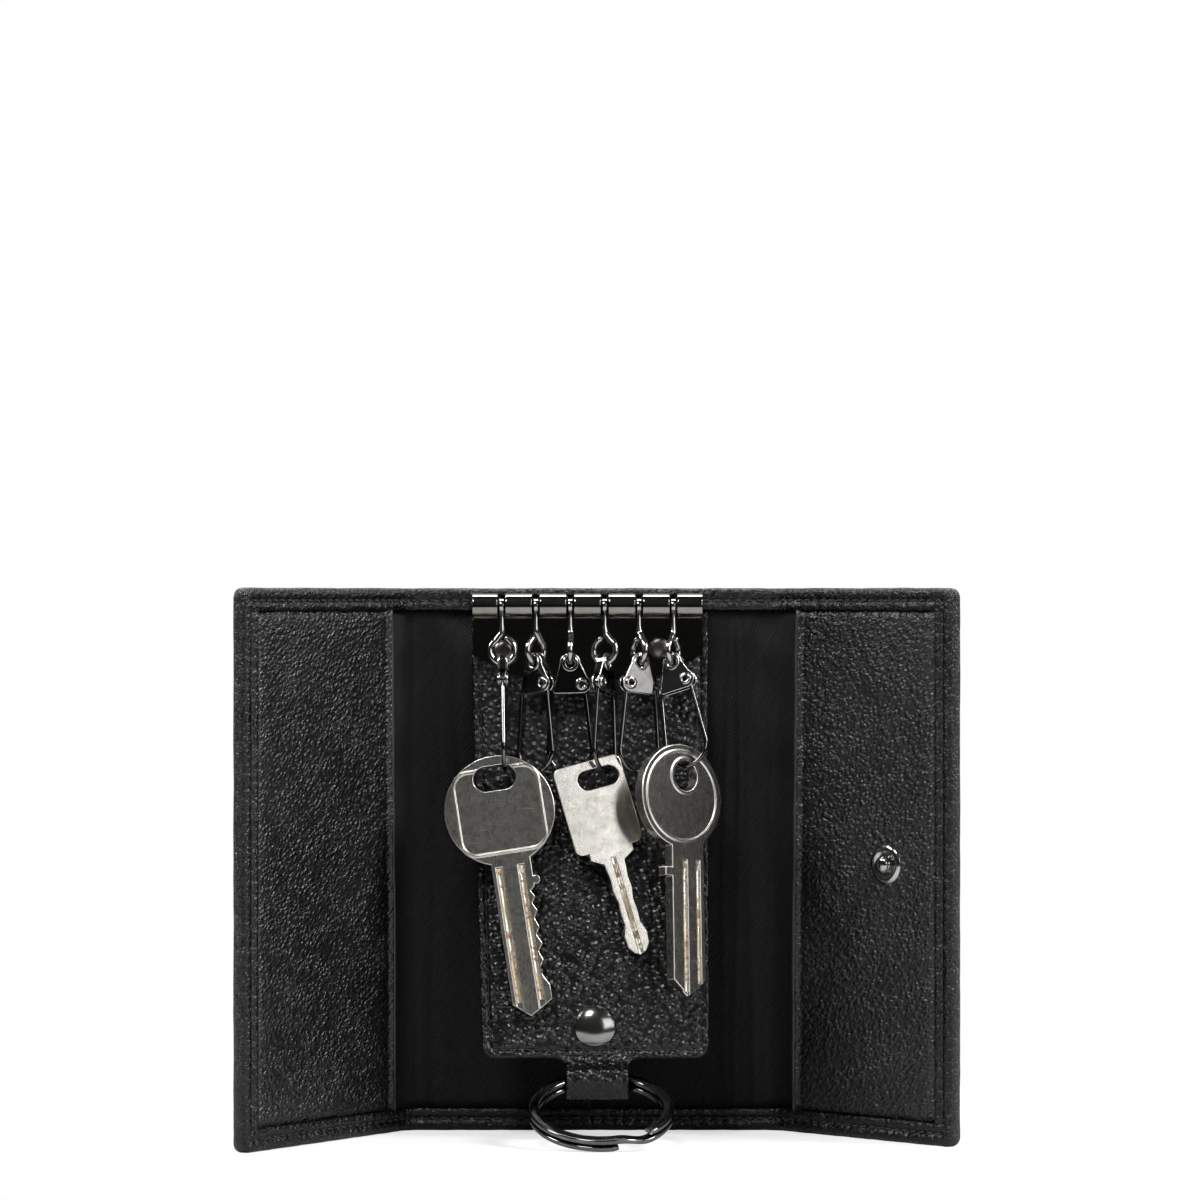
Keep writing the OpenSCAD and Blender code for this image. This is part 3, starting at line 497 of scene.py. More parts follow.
def thread_mat():
    """Twisted black thread."""
    k = Mat("black_thread")
    v = k.flat()
    col = k.mix(k.noise(v, 4.0, 2.0), (0.006, 0.006, 0.0065), (0.02, 0.02, 0.021))
    w = k.new("ShaderNodeTexWave", wave_type="BANDS", bands_direction="DIAGONAL")
    return k.surface(col, 0.55, k.bump(k.feed(w, "Fac", Vector=v, Scale=1.6), 0.04, 0.6), 0.4)


def twill():
    """Black twill: diagonal ribs crossed by fine yarns."""
    k = Mat("black_twill")
    v = k.flat()
    sep = k.new("ShaderNodeSeparateXYZ")
    k.link(v, sep.inputs[0])
    x, z = sep.outputs["X"], sep.outputs["Z"]
    rib_pitch, yarn_pitch = 0.72, 0.3
    diag = k.math("SUBTRACT", x, k.math("MULTIPLY", z, 0.95))
    across = k.math("SUBTRACT", x, k.math("MULTIPLY", z, 0.12))
    wob = k.math("MULTIPLY", k.noise(v, 0.35, 2.0), 0.5)
    rib = k.math("SINE", k.math("MULTIPLY", k.math("ADD", diag, wob), 2 * math.pi / rib_pitch))
    yarn = k.math("SINE", k.math("MULTIPLY", across, 2 * math.pi / yarn_pitch))
    h = k.math("ADD", k.math("MULTIPLY", rib, 0.36), k.math("MULTIPLY_ADD", yarn, 0.1, 0.5))
    big = k.noise(v, 0.06)
    # painted shade: black in the hollows between the ribs and yarns, lighter on their tops
    col = k.mix(k.ramp(h, (0.15, 0.9, 0.0, 1.0)), (0.0, 0.0, 0.0), (0.0052, 0.0056, 0.0056))
    col = k.mix(k.ramp(big, (0.4, 0.75, 0.0, 0.25)), col, (0.004, 0.0043, 0.0044))
    return k.surface(col, 0.5, k.bump(h, 0.2), 0.2)


def metal(name, colour, dark, rough, smear, scratch=0.0, spot=None, marks=0.0):
    """Plated or bare metal with fine scratches, smears and, where given, spots of another colour."""
    k = Mat(name)
    v = k.obj()
    big = k.noise(v, 0.35, 4.0, 0.6)
    fine = k.noise(v, 3.5, 3.0, 0.65)
    line = k.noise(k.mapped(v, Rotation=(0.3, 0.5, 0.9), Scale=(9.0, 0.6, 0.5)), 1.0, 3.0, 0.7)
    col = k.mix(k.ramp(big, (0.3, 0.75, 0.0, 1.0)), colour, dark)
    if spot:
        sp = k.noise(v, 1.3, 5.0, 0.7)
        col = k.mix(k.ramp(sp, (0.6, 0.72, 0.0, 0.75)), col, spot)
    if marks:
        bright = tuple(min(1.0, c * 1.9) for c in colour)
        for turned, least in (((0.2, 0.9, 0.1), 0.63), ((0.1, -0.5, 0.3), 0.66)):
            lines = k.noise(k.mapped(v, Rotation=turned, Scale=(0.22, 0.22, 4.2)), 1.0, 3.0, 0.6)
            col = k.mix(k.ramp(lines, (least, least + 0.08, 0.0, marks)), col, bright)
        soil = k.noise(v, 0.7, 6.0, 0.75)
        col = k.mix(k.ramp(soil, (0.46, 0.62, 0.0, 0.9 * marks)), col, tuple(c * 0.55 for c in dark))
    r = k.math("ADD", k.math("MULTIPLY", big, smear), k.math("MULTIPLY", line, smear))
    normal = None
    if scratch:
        h = k.math("ADD", k.math("MULTIPLY", line, scratch), k.math("MULTIPLY", fine, scratch * 0.6))
        normal = k.bump(h, 0.012, 0.6)
    return k.surface(col, k.math("ADD", r, rough - smear * 0.9), normal, metallic=1.0)


def board_mat():
    k = Mat("grey_board")
    n = k.noise(k.obj(), 1.2, 4.0)
    return k.surface(k.mix(n, (0.16, 0.14, 0.11), (0.3, 0.27, 0.22)), 0.9, k.bump(n, 0.05, 0.6))


def groove_metal():
    """The streaked, rusty bottoms of the keys' grooves."""
    k = Mat("groove_metal")
    v = k.flat()
    streak = k.noise(k.mapped(v, Scale=(2.2, 2.2, 0.16)), 1.0, 4.0, 0.65)
    spots = k.noise(v, 0.9, 4.0, 0.7)
    col = k.mix(k.ramp(streak, (0.42, 0.56, 0.0, 1.0)), (0.9, 0.87, 0.79), (0.5, 0.42, 0.29))
    col = k.mix(k.ramp(spots, (0.5, 0.62, 0.0, 0.9)), col, (0.2, 0.085, 0.035))
    rough = k.ramp(streak, (0.35, 0.65, 0.24, 0.5))
    return k.surface(col, rough, k.bump(streak, 0.03, 0.7), metallic=k.ramp(spots, (0.45, 0.62, 1.0, 0.25)))


BLACK = (0.0006, 0.0007, 0.00065)
M_LEATHER = leather("pebbled_leather", BLACK, (0.0028, 0.0031, 0.0029), 0.78)
M_FACING = leather("facing_leather", (0.0007, 0.0008, 0.00075), (0.0033, 0.0036, 0.0034), 0.8, depth=0.27)
M_HEM = leather("hem_leather", BLACK, (0.0026, 0.0029, 0.0027), 0.78, spec=0.34)
M_TONGUE = leather("tongue_leather", BLACK, (0.002, 0.0023, 0.0021), 1.25, 0.32, 0.44, 0.33,
                   turned=-0.4, stretch=0.85, pores=0.03, small=0.1)
M_EDGE = pale_bead()
M_THREAD = thread_mat()
M_TWILL = twill()
M_BOARD = board_mat()
M_GROOVE = groove_metal()
M_GUN = metal("gunmetal", (0.38, 0.373, 0.362), (0.28, 0.275, 0.266), 0.13, 0.04)
M_WIRE = metal("wire_plating", (0.12, 0.118, 0.115), (0.08, 0.078, 0.076), 0.09, 0.03)
M_PLATE = metal("plate_plating", (0.17, 0.167, 0.162), (0.12, 0.118, 0.114), 0.1, 0.03, 0.03)
M_RING = metal("ring_plating", (0.16, 0.158, 0.155), (0.1, 0.099, 0.097), 0.1, 0.04)
M_CAP = metal("cap_plating", (0.25, 0.246, 0.238), (0.2, 0.196, 0.19), 0.17, 0.06, 0.03)
M_BAR = metal("bar_plating", (0.22, 0.212, 0.195), (0.17, 0.163, 0.149), 0.07, 0.02)
M_DULL = metal("dull_rivet", (0.16, 0.15, 0.138), (0.11, 0.103, 0.095), 0.3, 0.1, 0.1)
# the next material is a brighter copy of the hooks' plating for their broken edges: a painted highlight
M_RIM_HIGHLIGHT = metal("plate_rim_highlight", (0.5, 0.49, 0.475), (0.38, 0.372, 0.36), 0.22, 0.05)
M_KEY = metal("worn_nickel_silver", (0.5, 0.485, 0.45), (0.3, 0.29, 0.262), 0.28, 0.2, 1.2,
              spot=(0.12, 0.1, 0.075), marks=0.6)
M_KEY2 = metal("bright_nickel", (0.76, 0.735, 0.68), (0.56, 0.54, 0.49), 0.18, 0.12, 0.5, marks=0.14)
M_KEY3 = metal("worn_steel_grey", (0.4, 0.388, 0.36), (0.22, 0.213, 0.193), 0.24, 0.2, 1.2,
               spot=(0.1, 0.085, 0.062), marks=0.6)
# the next material is a brighter copy of the keys' metal for their broken edges: a painted highlight
M_KEY_RIM_HIGHLIGHT = metal("key_rim_highlight", (0.78, 0.755, 0.7), (0.6, 0.575, 0.52), 0.3, 0.15, 0.5)

# ---- case: outer leather and hems
def corner(r, du, dv):
    """Which points lie in a round corner, and how far out of its centre they go each way."""
    cu, cv = np.clip(r - du, 0, None), np.clip(r - dv, 0, None)
    both = (cu > 0) & (cv > 0)
    k = np.where(both, np.maximum(cu, cv) / np.maximum(np.hypot(cu, cv), 1e-9), 1.0)
    return both, cu * k, cv * k


def outline(half, s, z):
    """Round corners and slightly uneven edges, and the distances in from the edges."""
    S = FOLD_X + half["width"]
    dz, ds = np.minimum(z, PANEL_H - z), S - s
    d = np.minimum(dz, ds)
    r = 2.0
    both, cx, cz = corner(r, ds, dz)
    sgn = np.where(z > PANEL_H / 2, 1, -1)
    s2 = np.where(both, S - r + cx, s)
    z2 = np.where(both, np.where(sgn > 0, PANEL_H - r + cz, r - cz), z)
    edge = np.clip(1 - d / 3.0, 0, 1)
    uneven = wave(s * 1.3, z * 1.3, 1.0)
    z2 = z2 + sgn * edge * (dz < ds) * uneven * 0.07
    s2 = s2 + edge * (ds <= dz) * uneven * 0.1
    return s2, z2, dz, ds, d


def case_leather(half):
    """The skin under the hems and the lining, and the outside of the case."""
    S = FOLD_X + half["width"]
    s_lines = [0.0] + spaced(0.03, FOLD_X - 3.5, 1.5) + spaced(FOLD_X - 3.2, FOLD_X + 3.2, 0.4)
    s_lines += spaced(FOLD_X + 4, S - 5, 1.5) + [S - e for e in reversed(EDGE_LINES)]
    z_lines = EDGE_LINES + spaced(6, PANEL_H - 6, 1.5) + [PANEL_H - e for e in reversed(EDGE_LINES)]
    s, z, shape = grid(s_lines, z_lines)
    s2, z2, dz, ds, d = outline(half, s, z)
    front = np.where(d <= 4.5, 0.02, 0.7)
    back = BACK_Y - rounded(d, 1.0) - 0.256 * dent(d, SEAM_IN, 0.4) + wave(s, z, 2.2) * 0.06
    verts, faces = slab(shape, (s2, front, z2), (s2, back, z2))
    return folded("case_leather_" + half["name"], verts, faces, M_LEATHER, half)


def hem(half, part):
    """A turned edge of the leather, drawn in along its row of stitches."""
    S = FOLD_X + half["width"]
    side = part == "side"
    if side:
        z, s, shape = grid(spaced(4.1, PANEL_H - 4.1, 0.5), [S - e for e in EDGE_LINES])
    else:
        along = spaced(0, FOLD_X - 3.5, 0.5) + spaced(FOLD_X - 3.2, FOLD_X + 3.2, 0.4)
        along += spaced(FOLD_X + 3.6, S - 4.7, 0.5) + [S - e for e in reversed(EDGE_LINES)]
        s, z, shape = grid(along, EDGE_LINES if part == "lower" else [PANEL_H - e for e in EDGE_LINES])
    s2, z2, dz, ds, d = outline(half, s, z)
    q, d_in = (z, ds) if side else (s, dz)
    groove = 0.42 * dent(d_in, SEAM_IN, 0.42)
    size = 0.75 + 0.45 * np.sin(q * 0.9 + 2 * np.sin(q * 0.31))
    ruck = np.cos(2 * np.pi * q / 2.2 + 1.1 * np.sin(q * 0.43)) + 0.5 * np.cos(2 * np.pi * q / 1.37 + 2.0)
    ruck *= 0.13 * size * dent(d_in, 2.6, 1.35)
    dip = 0.0
    if not side:
        corner = np.hypot(ds - SEAM_IN, d_in - SEAM_IN)
        groove = np.where(ds < SEAM_IN, 0.42 * dent(corner, 0, 0.42), groove)
        ruck = ruck * np.clip(ds / 3, 0, 1)
        dip = -0.1 * np.clip(1 - ds / 5.5, 0, 1)
    bulge = -0.12 * dent(d_in, 3.6, 0.5) - 0.1 * dent(d_in, 1.3, 0.5)
    inner_edge = rounded(np.clip(4.52 - d_in, 0, None), 0.45) * (d_in > 4)
    front = HEM_Y + rounded(d, 1.0) + groove + ruck + inner_edge + wave(s, z, 0.3) * 0.07 + dip + bulge
    verts, faces = slab(shape, (s2, np.minimum(front, 0.0), z2), (s2, 0 * s + 0.04, z2))
    return folded(f"hem_{part}_{half['name']}", verts, faces, M_HEM, half)


def case_thread(half):
    end, low, top = FOLD_X + half["width"] - SEAM_IN, SEAM_IN, PANEL_H - SEAM_IN
    lines = []
    for level, up in ((HEM_Y + 0.24, -1), (BACK_Y - 0.16, 1)):
        for a, b in (((0, low), (end, low)), ((0, top), (end, top)), ((end, low), (end, top))):
            lines.append((a, b, level, up))
    verts, faces = thread_run(lines, 2.2, 1.75, 0.24, 0.28)
    return folded("hem_thread_" + half["name"], verts, faces, M_THREAD, half)


def slanted(z):
    """How far the facing's inner edge leans and wanders with the height."""
    return 0.7 - 1.1 * np.clip((PANEL_H - z) / 75, 0, 1) + wave(z * 0.8, z * 0.3, 2.0) * 0.12


def facing(half):
    """The leather inside a flap, with a rounded inner edge and a crease along it."""
    s0, s1, z0 = FOLD_X + FACING_IN, FOLD_X + half["width"] - 4.35, 4.35
    near = (0, 0.04, 0.12, 0.24, 0.4, 0.6, 0.85, 1.1, 1.3, 1.5, 1.75, 2.1, 2.5, 3.0)
    s, z, shape = grid([s0 + e for e in near] + spaced(s0 + 4, s1, 1.6), spaced(z0, PANEL_H - z0, 1.7))
    d = s - s0
    front = -0.42 + rounded(d, 0.6) + wave(s * 0.7, z * 0.6, 4.0) * 0.12 * np.clip(d / 6, 0, 1)
    front += -0.5 * dent(d, 0.85, 0.5) + 0.14 * dent(d, 2.1, 0.45)
    edge = np.minimum(np.minimum(z - z0, PANEL_H - z0 - z), s1 - s)
    front += 0.12 * dent(edge, 0, 1.2) - 0.12 * dent(edge, 3, 2.5)
    s_e = s + np.clip(1 - d / 12, 0, 1) * slanted(z)
    verts, faces = slab(shape, (s_e, front, z), (s_e, 0.9 - rounded(d, 0.35), z))
    return folded(half["name"] + "_facing_leather", verts, faces, M_FACING, half, 5)


def facing_edge(half):
    """The turned inner edge of the facing, a smooth bead."""
    z = np.array(spaced(4.4, PANEL_H - 4.4, 1.2))
    s = FOLD_X + FACING_IN + 0.45 + slanted(z)
    y = -0.62 + 0.05 * wave(z, z * 0.5, 1.0)
    m = 12
    i, t, _ = grid(range(len(z)), 2 * math.pi * np.arange(m) / m)
    v = np.stack([s[i] + 0.48 * np.cos(t), y[i] + 0.42 * np.sin(t), z[i]], 1)
    return make(half["name"] + "_facing_edge", warp_case(v, half), skin(len(z), m), M_EDGE, flat=v)


def lining(half):
    """The twill of the middle panel, pleated towards the flap. pleats: (place, width, depth, slant)."""
    s_lines = spaced(0, 20, 2.5) + spaced(20.6, 35, 0.45) + spaced(35.4, FOLD_X + 3, 0.35)
    s_lines += spaced(FOLD_X + 3.5, FOLD_X + 6.2, 0.9)
    z0 = 4.3
    s, z, shape = grid(s_lines, spaced(z0, PANEL_H - z0, 2.0))
    folds = np.zeros_like(s)
    for c, w, a, sl in half["pleats"]:
        cc = c + sl * (z - 55) / 55 + 0.5 * np.sin(z * 0.05 + c)
        folds -= a * dent(s, cc, w) * (0.75 + 0.25 * np.sin(z * 0.06 + c * 2))
    end = np.clip(np.minimum(z - z0, PANEL_H - z0 - z) / 6, 0, 1)
    quiet = np.clip((s - 24.5) / 1.5, 0, 1)
    front = 0.22 + folds * (0.35 + 0.65 * end) * quiet + wave(s * 1.2, z * 0.7, 5.0) * 0.06 * quiet
    verts, faces = slab(shape, (s, front, z), (s, front + 0.3, z))
    return folded("twill_lining_" + half["name"], verts, faces, M_TWILL, half)


def bent(o, half, slot, *nodes):
    """For a piece that bends from the middle panel to a flap: it stays where it is drawn and hides the CAD
    nodes that it stands for.
    """
    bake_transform(o)
    if nodes:
        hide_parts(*nodes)


for half, skin_nodes, cloth_nodes in (
    (LEFT, ("back_leather", "left_leather"), ("lining",)),
    (RIGHT, ("right_leather",), ()),
):
    bent(case_leather(half), half, "leather", *skin_nodes)
    bent(case_thread(half), half, "leather")
    bent(hem(half, "upper"), half, "leather")
    bent(hem(half, "lower"), half, "leather")
    place(hem(half, "side"), half["body"], "leather")
    place(facing_edge(half), half["body"], "leather")
    place(facing(half), half["body"], "leather", half["name"] + "_facing")
    bent(lining(half), half, "lining", *cloth_nodes)

# ---- tongue
def tongue_edges(t):
    """Left and right edge of the tongue at a distance t below the hinge."""
    q = np.clip(t / TONGUE_LEN, 0, 1)
    return -24.2 + q * 2.4, 23.6 - q * 0.1


def tongue():
    """Two layers of leather, rounded at the lower corners and puckered along the seam."""
    width, rim, top, seam = 46.0, 2.5, HINGE_Z + 5.0 - PANEL_H, 1.6
    el = [0, 0.04, 0.14, 0.3, 0.5, 0.85, 1.15, 1.35, 1.6, 1.85, 2.1, 2.5]
    u_lines = el + spaced(3, width - 3, 0.6) + [width - e for e in reversed(el)]
    t_lines = [top + e for e in (0, 0.1, 0.3, 0.6)] + spaced(top + 1.2, -2.6, 0.7) + spaced(-2, 2, 0.5)
    t_lines += spaced(2.6, TONGUE_LEN - 3, 0.6) + [TONGUE_LEN - e for e in reversed(el)]
    u, t, shape = grid(u_lines, t_lines)
    le, re = tongue_edges(t)
    du, dt = np.minimum(u, width - u), TONGUE_LEN - t
    side = np.where(u > width / 2, 1, -1)
    middle = le + rim + np.clip((u - rim) / (width - 2 * rim), 0, 1) * (re - le - 2 * rim)
    x = np.where(u <= rim, le + u, np.where(u >= width - rim, re - (width - u), middle))
    r = 2.8
    both, cx, ct = corner(r, du, dt)
    x = np.where(both, np.where(side > 0, re - r + cx, le + r - cx), x)
    tt = np.where(both, TONGUE_LEN - r + ct, t)
    d = np.minimum(du, dt)
    uneven = wave(x, t * 1.4, 3.0) * np.clip(1 - d / 2.5, 0, 1) * 0.06
    x = x + side * uneven * (du < dt)
    tt = tt + uneven * (dt <= du)
    groove = 0.32 * dent(d, seam, 0.34)
    run = np.where(du < dt, t, x)
    size = 0.75 + 0.45 * np.sin(run * 0.8 + 2 * np.sin(run * 0.37))
    pucker = 0.12 * size * np.cos(2 * np.pi * run / 1.7 + 0.9 * np.sin(run * 0.5)) * dent(d, 1.7, 0.9)
    beside_tab = np.where(dt < du, np.clip((np.abs(x - TAB_X) - 5.9) / 2.4, 0, 1), 1.0)
    soft = wave(x * 1.4, t * 1.1, 6.0) * 0.07 * np.clip(t / 4, 0, 1) * np.clip(d / 4, 0, 1)
    front = np.maximum(-0.85 + beside_tab * rounded(d, 0.42) + groove + pucker + soft, -0.91)
    back = 0.9 - rounded(d, 0.42) - groove * 0.7
    verts, faces = slab(shape, (x, front, tt), (x, back, tt))
    return make("tongue_leather_body", warp_tongue(verts), faces, M_TONGUE, flat=verts * (1, 1, -1))


def tongue_thread():
    seam, corner, top = 1.6, 1.4, 3.0
    (l0, l1), (r0, r1) = (e.tolist() for e in tongue_edges(np.array([top, TONGUE_LEN])))
    l0, l1, r0, r1, low = l0 + seam, l1 + seam, r0 - seam, r1 - seam, TONGUE_LEN - seam
    ends = [((l0, top), (l1, low - corner)), ((r0, top), (r1, low - corner))]
    ends.append(((l1 + corner, low), (r1 - corner, low)))
    lines = [(a, b, level, up) for level, up in ((-0.75, -1), (0.8, 1)) for a, b in ends]
    verts, faces = thread_run(lines, 1.7, 1.3, 0.17, 0.2)
    return make("tongue_thread", warp_tongue(verts), faces, M_THREAD, flat=verts)


o = tongue()
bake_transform(o)
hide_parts("tongue_head", "tongue_front", "tongue_back")
place(tongue_thread(), "tongue", "leather")


def catmull(points, n):
    """A smooth line through the points, with n steps from each to the next."""
    p = np.array(points, float)
    p = np.concatenate([[2 * p[0] - p[1]], p, [2 * p[-1] - p[-2]]])
    out = []
    for i in range(1, len(p) - 2):
        for k in range(n):
            t = k / n
            a, b, c, d = p[i - 1], p[i], p[i + 1], p[i + 2]
            bends = (2 * a - 5 * b + 4 * c - d) * t * t + (3 * b - a - 3 * c + d) * t ** 3
            out.append(0.5 * (2 * b + (c - a) * t + bends))
    out.append(p[-2])
    return np.array(out)


def tab():
    """The strip that leaves the tongue's lower edge, folds round the ring and goes up behind."""
    L, c, rm, th = TONGUE_LEN, TONGUE_LEN + TAB_DROP, 3.5, 0.9
    seam, pitch = 1.3, 1.7
    pts = [(-0.44, L - 0.8), (-0.5, L + 0.1), (-1.15, L + 1.4), (-2.5, L + 2.6)]
    for a in np.radians(np.linspace(160, 380, 12)):
        pts.append((rm * math.cos(a), c - rm * math.sin(a)))
    pts += [(2.3, L + 1.9), (1.5, L + 0.5), (1.36, L - 1.2), (1.36, L - 6), (1.36, L - 12)]
    path = catmull(pts, 4)
    tan = np.gradient(path, axis=0)
    tan /= np.linalg.norm(tan, axis=1)[:, None]
    nrm = np.stack([-tan[:, 1], tan[:, 0]], 1)  # towards the outside of the fold
    if nrm[0][0] > 0:
        nrm = -nrm
    run = np.concatenate([[0], np.cumsum(np.linalg.norm(np.diff(path, axis=0), axis=1))])
    el = [0, 0.05, 0.18, 0.36, 0.6, 0.9, 1.2, 1.5, 1.9]
    w_lines = el + spaced(2.6, TAB_W - 2.6, 0.9) + [TAB_W - e for e in reversed(el)]
    outer, inner = [], []
    for i, (h, t) in enumerate(path):
        grow = 0.0  # the strip widens where it leaves the tongue
        if i < len(path) * 0.45:
            q = np.clip(1 - (t - L) / 2.3, 0, 1)
            grow = 2.3 * (1 - math.sqrt(max(0.0, 1 - q * q)))
        for w in w_lines:
            d = min(w, TAB_W - w)
            share = 1 if d < 1.9 else max(0, 1 - (d - 1.9) / 4.3)
            x = TAB_X - TAB_W / 2 + w + (-grow if w < TAB_W / 2 else grow) * share
            drop = float(rounded(d, 0.42)) + 0.1 * dent(d, seam, 0.3)
            drop += 0.04 * math.cos(2 * math.pi * run[i] / pitch) * dent(d, seam, 0.6)
            sag = 0.04 * math.sin(run[i] * 0.9 + w * 0.5) * (0.5 if d < 1 else 1)
            outer.append((x, *(path[i] + nrm[i] * (th / 2 - drop + sag))))
            inner.append((x, *(path[i] - nrm[i] * (th / 2 - float(rounded(d, 0.3))))))
    verts, faces = slab((len(path), len(w_lines)), np.array(outer).T, np.array(inner).T)
    along = np.repeat(-run - 40, len(w_lines))
    y = np.full(len(along), th / 2)
    flat = np.stack([verts[:, 0], np.concatenate([y, -y]), np.concatenate([along, along])], 1)
    o = make("ring_tab_leather", warp_tongue(verts), faces, M_TONGUE, flat=flat)
    place(o, "tongue", "leather", "ring_tab")
    # its stitches, on the front part
    sv, sf = stitch_verts(1.3, 0.17, 0.2)
    tv, tf = [], []
    s = 2.4
    while s < run[-1] * 0.3:
        i = int(np.searchsorted(run, s))
        for w in (seam, TAB_W - seam):
            tf += moved(sf, len(tv))
            for u, hgt, v in sv:
                p = path[i] + tan[i] * u + nrm[i] * (th / 2 - 0.06 + hgt)
                tv.append((TAB_X - TAB_W / 2 + w + v, p[0], p[1]))
        s += pitch
    tv = np.array(tv)
    place(make("ring_tab_thread", warp_tongue(tv), tf, M_THREAD, flat=tv), "tongue", "leather")


tab()
at = warp_tongue(np.array([[0.7, -0.9, TONGUE_LEN - 6.3]]))[0]
prof = [(0, 1.42), (0.9, 1.4), (1.8, 1.3), (2.6, 1.1), (3.25, 0.84), (3.7, 0.6), (3.95, 0.45)]
prof += [(4.12, 0.34), (4.24, 0.2), (4.26, 0.06), (4.2, -0.05), (3.9, -0.12), (0, -0.12)]
o = lathe("cap_rivet_finish", prof, at, (0, -math.cos(LEAN), math.sin(LEAN)), M_CAP, seg=72)
place(o, "tongue", "plated_metal", "tongue_button")

# ---- split ring
def split_ring():
    """Two turns of flat wire that cross over once, hung on the tab and leaning on the table."""
    outer_r, width, thick, gap, cross = 14.35, 2.2, 1.05, 0.45, 30.0
    mid = outer_r - width / 2
    rise = (thick + gap) / 2
    low = thick + gap / 2
    tilt = math.atan2(low, mid + outer_r) + math.acos(min(1, PIVOT_Z / math.hypot(mid + outer_r, low)))
    sweep, n, r = 720 - cross, 300, 0.34
    section = []
    for sx, sy, a0 in ((1, 1, 0), (-1, 1, 90), (-1, -1, 180), (1, -1, 270)):
        for a in (0, 30, 60, 90):
            aa = math.radians(a0 + a)
            section.append((sx * (width / 2 - r) + r * math.cos(aa), sy * (thick / 2 - r) + r * math.sin(aa)))
    verts = []
    for i in range(n + 1):
        t = sweep * i / n
        level = rise * math.cos(math.pi * min(1, max(0, (t - (360 - cross)) / cross)))
        taper = 0.72 + 0.28 * min(1, min(t, sweep - t) / 5)
        a = math.radians(t - 46)
        for pr, ph in section:
            rr = mid + pr * (0.6 + 0.4 * taper)
            x, y, z = rr * math.cos(a), -level - ph * taper, rr * math.sin(a) - mid
            # lean forward about the pivot
            y2 = y * math.cos(tilt) + z * math.sin(tilt)
            z2 = -y * math.sin(tilt) + z * math.cos(tilt)
            verts.append((2.0 + x, PIVOT_Y + y2, PIVOT_Z + z2))
    return make("split_ring_coil", np.array(verts), skin(n + 1, len(section)), M_RING, sharp=60)


place(split_ring(), "ring", "plated_metal", "split_ring")

# ---- snap
SNAP_OUT, SNAP_Z, CASE_W = 30.3, 55, 76.5  # the snap closes where the folded flaps overlap


def snap_part(name, prof, half, out, y, way, node):
    """A turned piece on a flap. way: 1 for the outside of the case, -1 for the inside."""
    th = math.radians(half["angle"])
    axis = (way * half["side"] * math.sin(th), way * math.cos(th), 0)
    o = lathe(name, prof, warp_case(np.array([[FOLD_X + out, y, SNAP_Z]]), half)[0], axis, M_GUN)
    place(o, half["body"], "plated_metal", node)


prof = [(0, 2.3), (0.75, 2.28), (1.2, 2.15), (1.5, 1.9), (1.62, 1.55), (1.55, 1.25), (1.3, 1.05)]
prof += [(1.2, 0.85), (1.28, 0.72), (1.7, 0.66), (2.2, 0.62), (2.5, 0.72), (3.0, 0.84), (3.5, 0.8)]
prof += [(3.85, 0.6), (4.02, 0.34), (4.0, 0.08), (3.8, -0.08), (1.1, -0.1), (1.1, -2.35), (0, -2.35)]
snap_part("snap_stud_finish", prof, RIGHT, SNAP_OUT, 0.0, -1, "snap_stud")
prof = [(0, 1.62), (1.6, 1.55), (3.0, 1.32), (4.1, 0.98), (4.9, 0.62), (5.3, 0.38), (5.5, 0.18)]
prof += [(5.48, 0.0), (5.2, -0.08), (0, -0.08)]
snap_part("snap_cap_finish", prof, RIGHT, SNAP_OUT, BACK_Y, 1, "snap_cap")
prof = [(0, 0.35), (1.9, 0.35), (1.98, 0.5), (1.95, 1.3), (2.1, 1.7), (2.4, 1.95), (2.9, 2.0), (3.4, 1.85)]
prof += [(3.8, 1.5), (3.95, 1.1), (4.3, 0.95), (4.75, 0.8), (5.0, 0.5), (4.98, 0.1), (4.7, -0.08), (0, -0.08)]
snap_part("snap_socket_finish", prof, LEFT, CASE_W - SNAP_OUT, BACK_Y, 1, "snap_socket")

# ---- hooks, bar and keys
bevelled("key_bar", "case", M_BAR, 0, merge=False)
BAR_X, PITCH, TUBE_Y, TUBE_Z = -0.8, 6.95, -4.25, 106.4
# how each hook hangs, in degrees, from the left: the pins, then the plates with their gates
PIN_LEAN, PIN_ROLL = 8.0, (1.3, 0, 0, 0, 0, 0)
HOOK_LEAN = (18.5, 8, 3, 12.5, 10, 18)
HOOK_TURN = (-90, -40, 0, -118, -150, -25)
HOOK_TILT = (0, 0, 0, 0, 0, 8.5)
EYE_DROP, EYE_R = 9.2, 2.5
RIVET = (2.35, -4.2)  # the gate's pivot in the plate
GATE_TIP = (-3.6, -4.6)
LOOP_R, LOOP_MID = 4.4, 17.7
# of each key: its hook, and its turn, lean and tilt on the wire in degrees
KEYS = ((0, 0, 7.5, 8.9), (3, 10, 11, 16.6), (5, 40, 10.5, 1))


def turn(x, y, z):
    return (Matrix.Rotation(math.radians(z), 4, "Z") @ Matrix.Rotation(math.radians(y), 4, "Y")
            @ Matrix.Rotation(math.radians(x), 4, "X"))


def pin_frame(i):
    at = Matrix.Translation((BAR_X + (i - 2.5) * PITCH, TUBE_Y, TUBE_Z))
    return at @ turn(0, -PIN_ROLL[i], 0) @ turn(-PIN_LEAN, 0, 0)


def hook_frame(i):
    at = Matrix.Translation((0, 0, -EYE_DROP - EYE_R))
    return (pin_frame(i) @ at @ turn(PIN_LEAN - HOOK_LEAN[i], 0, 0)
            @ turn(0, 0, HOOK_TURN[i]) @ turn(0, -HOOK_TILT[i], 0))


def set_at(matrix, verts):
    """Points of a frame, in the case's own."""
    m = np.array(matrix)
    return np.asarray(verts) @ m[:3, :3].T + m[:3, 3]


